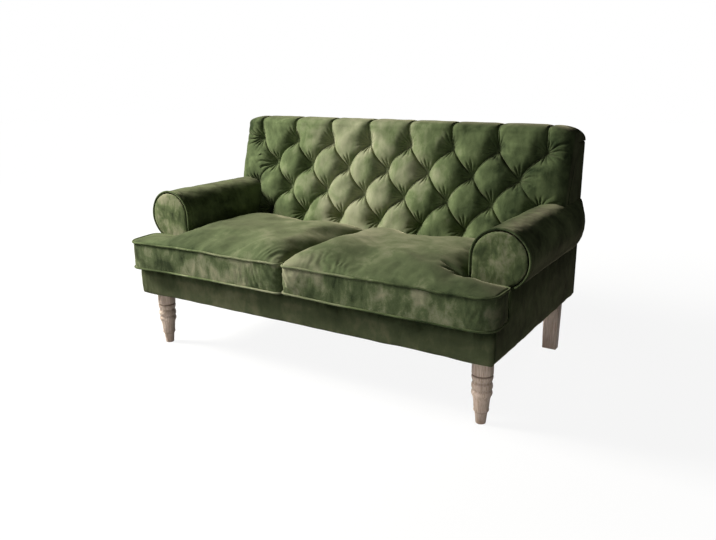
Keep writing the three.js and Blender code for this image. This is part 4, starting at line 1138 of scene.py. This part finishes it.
def distance_to_seam(points):
    line = t_outline(SEAM_INSET, 9)
    nearest = np.full(len(points), 1e9)
    for start in range(0, len(line), 40):
        gap = np.linalg.norm(points[:, None, :2] - line[None, start : start + 40], axis=2)
        nearest = np.minimum(nearest, gap.min(axis=1))
    return nearest


# %% [markdown]
# The simulation runs for 22 frames. Its pins are the two seams, the panel underneath, which lies on
# the deck, and the zip. Cloth could be left to swell freely, but then the T loses its shape, so no
# point may move more than 10 mm, and the border moves less than the top.

# %% Filling the cushions
LAST_FRAME = 22
LONGEST_MOVE = 10.0
ALL_AXES = {"use_axis_x": True, "use_axis_y": True, "use_axis_z": True}
CLOTH_SETTINGS = {
    "use_pressure": True,
    "uniform_pressure_force": 2.2,
    "vertex_group_mass": "pins",
    "quality": 5,
    "mass": 0.35,
    "tension_stiffness": 18,
    "compression_stiffness": 12,
    "shear_stiffness": 8,
    "bending_stiffness": 2.0,
    "shrink_min": -0.010,
}


def blow_up(holder, before):
    """Adds cloth simulation to the cushion and runs it. Before is its points in millimetres."""
    x, y, z = before.T
    at_seam = (distance_to_seam(before) < 8) & ((abs(z - SEAM_LOW) < 7) | (abs(z - SEAM_HIGH - 2) < 7))
    at_zip = (y > BODY_BACK - 12) & (abs(x - 302) < 250) & (abs(z - 394) < 16)
    pins = holder.vertex_groups.new(name="pins")
    pins.add(np.flatnonzero(at_seam | (z < SEAM_LOW - 1) | at_zip).tolist(), 1.0, "REPLACE")
    sim = holder.modifiers.new("filling", "CLOTH")
    for name, value in CLOTH_SETTINGS.items():
        setattr(sim.settings, name, value)
    sim.settings.effector_weights.gravity = 0
    sim.collision_settings.use_collision = False
    sim.point_cache.frame_start, sim.point_cache.frame_end = 1, LAST_FRAME
    for number in range(1, LAST_FRAME + 1):
        bpy.context.scene.frame_set(number)


def filled_cushion():
    """The box blown up by cloth simulation, in millimetres."""
    mesh = bpy.data.meshes.new("cushion")
    box = cushion_box()
    box.to_mesh(mesh)
    box.free()
    holder = bpy.data.objects.new("cushion", mesh)
    bpy.context.collection.objects.link(holder)
    before = np.array([v.co[:] for v in mesh.vertices]) / MM
    blow_up(holder, before)
    cloth = bmesh.new()
    cloth.from_mesh(holder.evaluated_get(bpy.context.evaluated_depsgraph_get()).to_mesh())
    bpy.data.objects.remove(holder)
    bpy.context.scene.frame_set(1)
    in_border = (before[:, 2] < SEAM_HIGH - 3) * (1 - groove(before[:, 0], 110))
    travel = (points_of(cloth) / MM - before) * (1 - 0.75 * in_border)[:, None]
    length = np.linalg.norm(travel, axis=1)
    held_back = np.minimum(length, LONGEST_MOVE) / np.maximum(length, 1e-6)
    print("cushion swelled by up to", round(float(length.max()), 1), "mm")
    move_to(cloth, before + travel * held_back[:, None])
    above = [vert for vert in cloth.verts if vert.co.z > SEAM_HIGH + 6]
    for _ in range(8):
        bmesh.ops.smooth_vert(cloth, verts=above, factor=0.5, **ALL_AXES)
    return cloth


# %% [markdown]
# What makes a cushion look used comes last. First its cloth is gathered beside the gap between the
# two, puckered over the front seam and folded at the notch of the T. The simulation could make such
# folds too, but not at the places where this sofa has them. Then the whole cushion is moved a little,
# as someone who got up has left it, together with its piping.

# %% Settled cushions
def settled(points, side):
    """Loose cushions never lie quite true: where each part of one has moved to."""
    x, y, z = points.T
    front = 1 - smooth_step(y, cushion_low.y + 20, cushion_low.y + 220)
    outer_end = smooth_step(x, 520, 740) * (y < EAR_BACK + 30)
    inner_corner = groove(x, 120) * front
    moved = points.copy()
    # the gap between the two has moved over to the left at the front
    moved[:, 0] -= side * 11 * front * groove(x, 170)
    if side > 0:
        moved[:, 1] -= 10 * inner_corner
        moved[:, 2] += 9 * inner_corner * (1 - smooth_step(z, SEAM_LOW, SEAM_HIGH))
        moved[:, 0] += 17 * outer_end
        full = smooth_step(z, SEAM_HIGH + 1, SEAM_HIGH + 14)
        moved[:, 2] += 14 * full * groove(x - 100, 95) * groove(y - cushion_low.y - 225, 190)
        moved[:, 2] += 17 * full * groove(x - 636, 58) * groove(y - cushion_low.y - 108, 60)
    else:
        moved[:, 0] += 22 * outer_end
        moved[:, 1] -= 5 * front * smooth_step(x, 300, 700)
        moved[:, 2] -= 6 * front * smooth_step(x, 560, 740)
    return moved


# %% Wrinkles and the finished cushions
NOTCH_FOLDS = ((172, 105, 8.0), (204, 85, 9.0), (240, 55, 6.0))  # heading in degrees, length, depth


def cushion_wrinkles(cloth, side):
    """Gathers beside the middle gap and at the ear, puckers over the front seam, a few folds at the notch."""
    points = points_of(cloth)
    normals = np.array([vert.normal[:] for vert in cloth.verts])
    x, y, z = points.T
    border = hump(z, SEAM_LOW, SEAM_HIGH, 4) * (z < SEAM_HIGH)
    around = np.where(abs(normals[:, 1]) > 0.6, x, y)
    wander = ripples(points * (1, 1, 0.5), 75, 61 + side)
    near_gap = groove(x, 95 if side > 0 else 150)
    lean = 0.75 * side * smooth_step(-x, -260, -60)
    gathers = np.sin(2 * np.pi * (around + lean * (z - SEAM_LOW)) / 29 + 2.4 * wander)
    gathers *= 0.65 + 0.45 * ripples(points, 55, 67 + side)
    depth = (4.2 if side > 0 else 3.0) * near_gap + 0.9 * groove(x - 705, 40) + 0.3 * (1 - near_gap)
    move = border * depth * gathers
    above = smooth_step(z, SEAM_HIGH + 1, SEAM_HIGH + 8)
    start, spread = (180, 90) if side > 0 else (62, 42)
    puckered = groove(y - cushion_low.y - 40, 34) * (groove(x - start, spread) + 0.12)
    move += 2.8 * above * puckered * np.sin(2 * np.pi * (x + 0.35 * (y - cushion_low.y)) / 28 + 2.4 * wander)
    behind = groove(y - BODY_BACK + 25, 30) * groove(x - 40, 70)
    move += 2.2 * above * behind * np.sin(2 * np.pi * x / 20 + wander)
    to_notch = np.hypot(x - BODY_SIDE, y - EAR_BACK)
    angle = np.arctan2(y - EAR_BACK, x - BODY_SIDE)
    for heading, length, depth in NOTCH_FOLDS:
        beside = to_notch * np.sin(angle - math.radians(heading))
        ahead_of = np.cos(angle - math.radians(heading)) > 0
        fade = smooth_step(to_notch, 4, 22) * (1 - smooth_step(to_notch, 0.5 * length, length))
        move -= depth * ahead_of * fade * groove(beside, 6.0) * above
    move += above * (1.5 * ripples(points, 190, 71 + side) + 0.45 * ripples(points, 70, 73 + side))
    move_to(cloth, settled(points + normals * move[:, None], side))


for side, hand in SIDES:
    cloth = filled_cushion()
    cloth.normal_update()
    cushion_wrinkles(cloth, side)
    name, body, nodes = f"seat_cushion_{hand}", f"{hand}_cushion", [f"cushion_cover_{hand}"]
    cover = finish_piece(cloth, name, cushion_velvet, "velvet", body, *nodes, side=side)
    finer = cover.modifiers.new("finer", "SUBSURF")
    finer.levels = finer.render_levels = 1
    line = t_outline(5.0, 7)
    for seam, height, radius in (("top", SEAM_HIGH, 4.0), ("bottom", SEAM_LOW, 3.5)):
        sway = seam_sway(*line.T) if seam == "top" else 0.5 * seam_sway(line[:, 1] + 90, line[:, 0])
        points = settled(np.column_stack((line, height + sway)), side)
        points[:, 0] *= side
        piping(f"{seam}_piping_{hand}", points, radius, True, body, f"cushion_{seam}_piping_{hand}")

# %% [markdown]
# The front legs are turned. Stacked cones would show their joints, so the leg is one profile, spun.
# It goes up from the foot through a long taper, two beads with a cove between them and a collar, to
# the plain block under the seat, and down again into the bore that the bolt screws into.

# %% Turned front legs
leg_top = corners_of("front_leg_right")[1].z
leg_x, leg_y = 693.0, -336.0
BORE = 4.2
LEG_PROFILE = [
    (0, 0), (14.6, 0), (16.2, 1.2), (17.2, 9), (19.0, 27), (20.4, 39.0), (20.9, 40.6),
    (23.6, 42.6), (24.9, 45.5), (25.1, 48.5), (24.2, 51.0), (24.0, 53.0), (24.8, 58),
    (25.2, 66), (26.4, 80), (28.2, 91), (30.2, 96), (32.6, 100.5), (33.8, 105.5),
    (33.0, 110.5), (30.8, 114.0), (30.2, 116.5), (31.0, 119.0), (33.2, 123.0), (33.9, 129),
    (33.2, 135.5), (31.2, 139.5), (30.4, 142.5), (30.8, 146.0), (32.6, 151.5), (34.0, 156.5),
    (34.5, 161.5), (34.0, 164.0), (31.2, 164.8), (30.8, 168.6), (33.6, 169.4), (34.4, 171.0),
    (34.5, leg_top - 0.8), (33.8, leg_top), (BORE, leg_top), (BORE, leg_top - 60), (0, leg_top - 60),
]
for side, hand in SIDES:
    leg = spun(LEG_PROFILE, 56)
    bmesh.ops.translate(leg, vec=(side * leg_x, leg_y, 0), verts=leg.verts)
    finish_piece(leg, f"turned_leg_{hand}", turned_wood, "limed_wood", "sofa", f"front_leg_{hand}")

# %% [markdown]
# The rear legs are plain: a square block sawn to a slight taper, narrower at the foot. They could be
# turned like the front ones, but the photograph shows a plain one behind the right arm. A box whose
# lower end is drawn in, with its edges eased as sandpaper leaves them, is all that they need.

# %% Rear legs
rear_leg_low, rear_leg_high = corners_of("rear_leg_right")
size = rear_leg_high - rear_leg_low
centre = (rear_leg_low + rear_leg_high) / 2
FOOT_WIDTH, FOOT_DEPTH = 0.86, 0.9  # shares of the top's width and depth
for side, hand in SIDES:
    leg = bmesh.new()
    bmesh.ops.create_cube(leg, size=1, matrix=Matrix.Translation(centre) @ Matrix.Diagonal((*size, 1)))
    for vert in leg.verts:
        if vert.co.z < centre.z:
            vert.co.x = centre.x + (vert.co.x - centre.x) * FOOT_WIDTH
            vert.co.y = centre.y + (vert.co.y - centre.y) * FOOT_DEPTH
    eased(leg, [edge for edge in leg.edges if abs(edge.verts[0].co.z - edge.verts[1].co.z) > 1], 3)
    eased(leg, [edge for edge in leg.edges if edge.calc_face_angle(0) > 1.0], 1.2, segments=2)
    finish_piece(leg, f"square_leg_{hand}", limed_wood, "limed_wood", "sofa", f"rear_leg_{hand}", side=side)

# %% [markdown]
# Under the cushions lies a deck of felt over the springs, and under the frame a thin dust cover is
# stapled. The deck is a padded slab with softened edges. The dust cover is a real sheet, pulled tight
# between the rails, with openings for the legs, and it sags a few millimetres between them. Cloth
# simulation would only find that same sag, so a sine along each side stands for it.

# %% Deck
deck_low, deck_high = corners_of("seat_deck")
DECK_STEP_Y = facing_low.y - 0.3
NARROW = 653.9
deck_outline = [
    (deck_low.x, deck_low.y, deck_low.z),
    (deck_high.x, deck_low.y, deck_low.z),
    (deck_high.x, DECK_STEP_Y, deck_low.z),
    (NARROW, DECK_STEP_Y, deck_low.z),
    (NARROW, deck_high.y, deck_low.z),
    (-NARROW, deck_high.y, deck_low.z),
    (-NARROW, DECK_STEP_Y, deck_low.z),
    (deck_low.x, DECK_STEP_Y, deck_low.z),
]
cloth = remeshed(slab(deck_outline, (0, 0, deck_high.z - deck_low.z), 3), 7.5)
points = points_of(cloth)
upper = smooth_step(points[:, 2], deck_high.z - 4, deck_high.z - 1)
points[:, 2] -= upper * (0.7 + 0.5 * ripples(points, 160, 81))
move_to(cloth, points)
deck = finish_piece(cloth, "felt_deck", deck_felt, "deck_felt", "sofa", "seat_deck")

# %% Dust cover
DUST_COLUMNS, DUST_ROWS = 148, 84
dust_low, dust_high = corners_of("dust_cover")
sheet_size = (dust_high.x - dust_low.x, dust_high.y - dust_low.y)
# x, y, half width and half depth of the opening for each leg
leg_places = [(side * leg_x, leg_y, 36.5, 36.5) for side in (1, -1)]
leg_places += [(side * centre.x, centre.y, size.x / 2 + 2, size.y / 2 + 2) for side in (1, -1)]


def dust_place(across, along):
    x = dust_low.x + sheet_size[0] * across
    y = dust_low.y + sheet_size[1] * along
    middle = np.sin(math.pi * across) * np.sin(math.pi * along)
    points = np.column_stack((x, y, 0 * x + dust_low.z + 0.2))
    points[:, 2] -= 2.0 * middle * (1 + 0.4 * ripples(points, 240, 83))
    return points


def under_leg(face):
    spot = face.calc_center_median()
    return any(
        abs(spot.x - x) < half_x + 3 and abs(spot.y - y) < half_y + 3 for x, y, half_x, half_y in leg_places
    )


cloth = wrapped_cloth(DUST_COLUMNS, DUST_ROWS, dust_place)
bmesh.ops.delete(cloth, geom=[face for face in cloth.faces if under_leg(face)], context="FACES")
dust_sheet = finish_piece(cloth, "dust_cover_cloth", dust_cloth, "dust_cloth", "sofa", "dust_cover")
wall = dust_sheet.modifiers.new("wall", "SOLIDIFY")
wall.thickness = 0.8 * MM
wall.offset = 0

# %% [markdown]
# Inside each cover is a filling, a soft pad in white cotton that is a little smaller than its cover.
# It could be the cover's shape drawn in, but that would copy its wrinkles. So it is the same T, pushed
# up, remeshed and crowned, and it is only seen when the cushion is opened.

# %% Fillings
for side, hand in SIDES:
    outline = [(x, y, SEAM_LOW + 6) for x, y in t_outline(19, 12)]
    pad = remeshed(pushed_out(outline, (0, 0, 90)), 11)
    points = points_of(pad)
    upper = smooth_step(points[:, 2], SEAM_HIGH - 40, SEAM_HIGH - 8)
    points[:, 2] += upper * 0.8 * crown_at(points[:, 0], points[:, 1])
    move_to(pad, points)
    bmesh.ops.smooth_vert(pad, verts=pad.verts, factor=0.6, **ALL_AXES)
    name, body, nodes = f"cushion_filling_{hand}", f"{hand}_cushion", [f"cushion_core_{hand}"]
    filling = finish_piece(pad, name, cotton, "cushion_filling", body, *nodes, side=side)

# %% [markdown]
# Last, both boxes are printed: the frame's, measured before anything was added, and the dressed
# sofa's. The second may be only a little larger than the first.

# %% Sizes and finish
dressed_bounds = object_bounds()
boxes = {
    "frame": [list(corner) for corner in frame_bounds],
    "dressed": [list(corner) for corner in dressed_bounds],
}
for name, corners in boxes.items():
    print(name, [[round(value, 4) for value in corner] for corner in corners])
bpy.context.scene.view_settings.view_transform = "Standard"
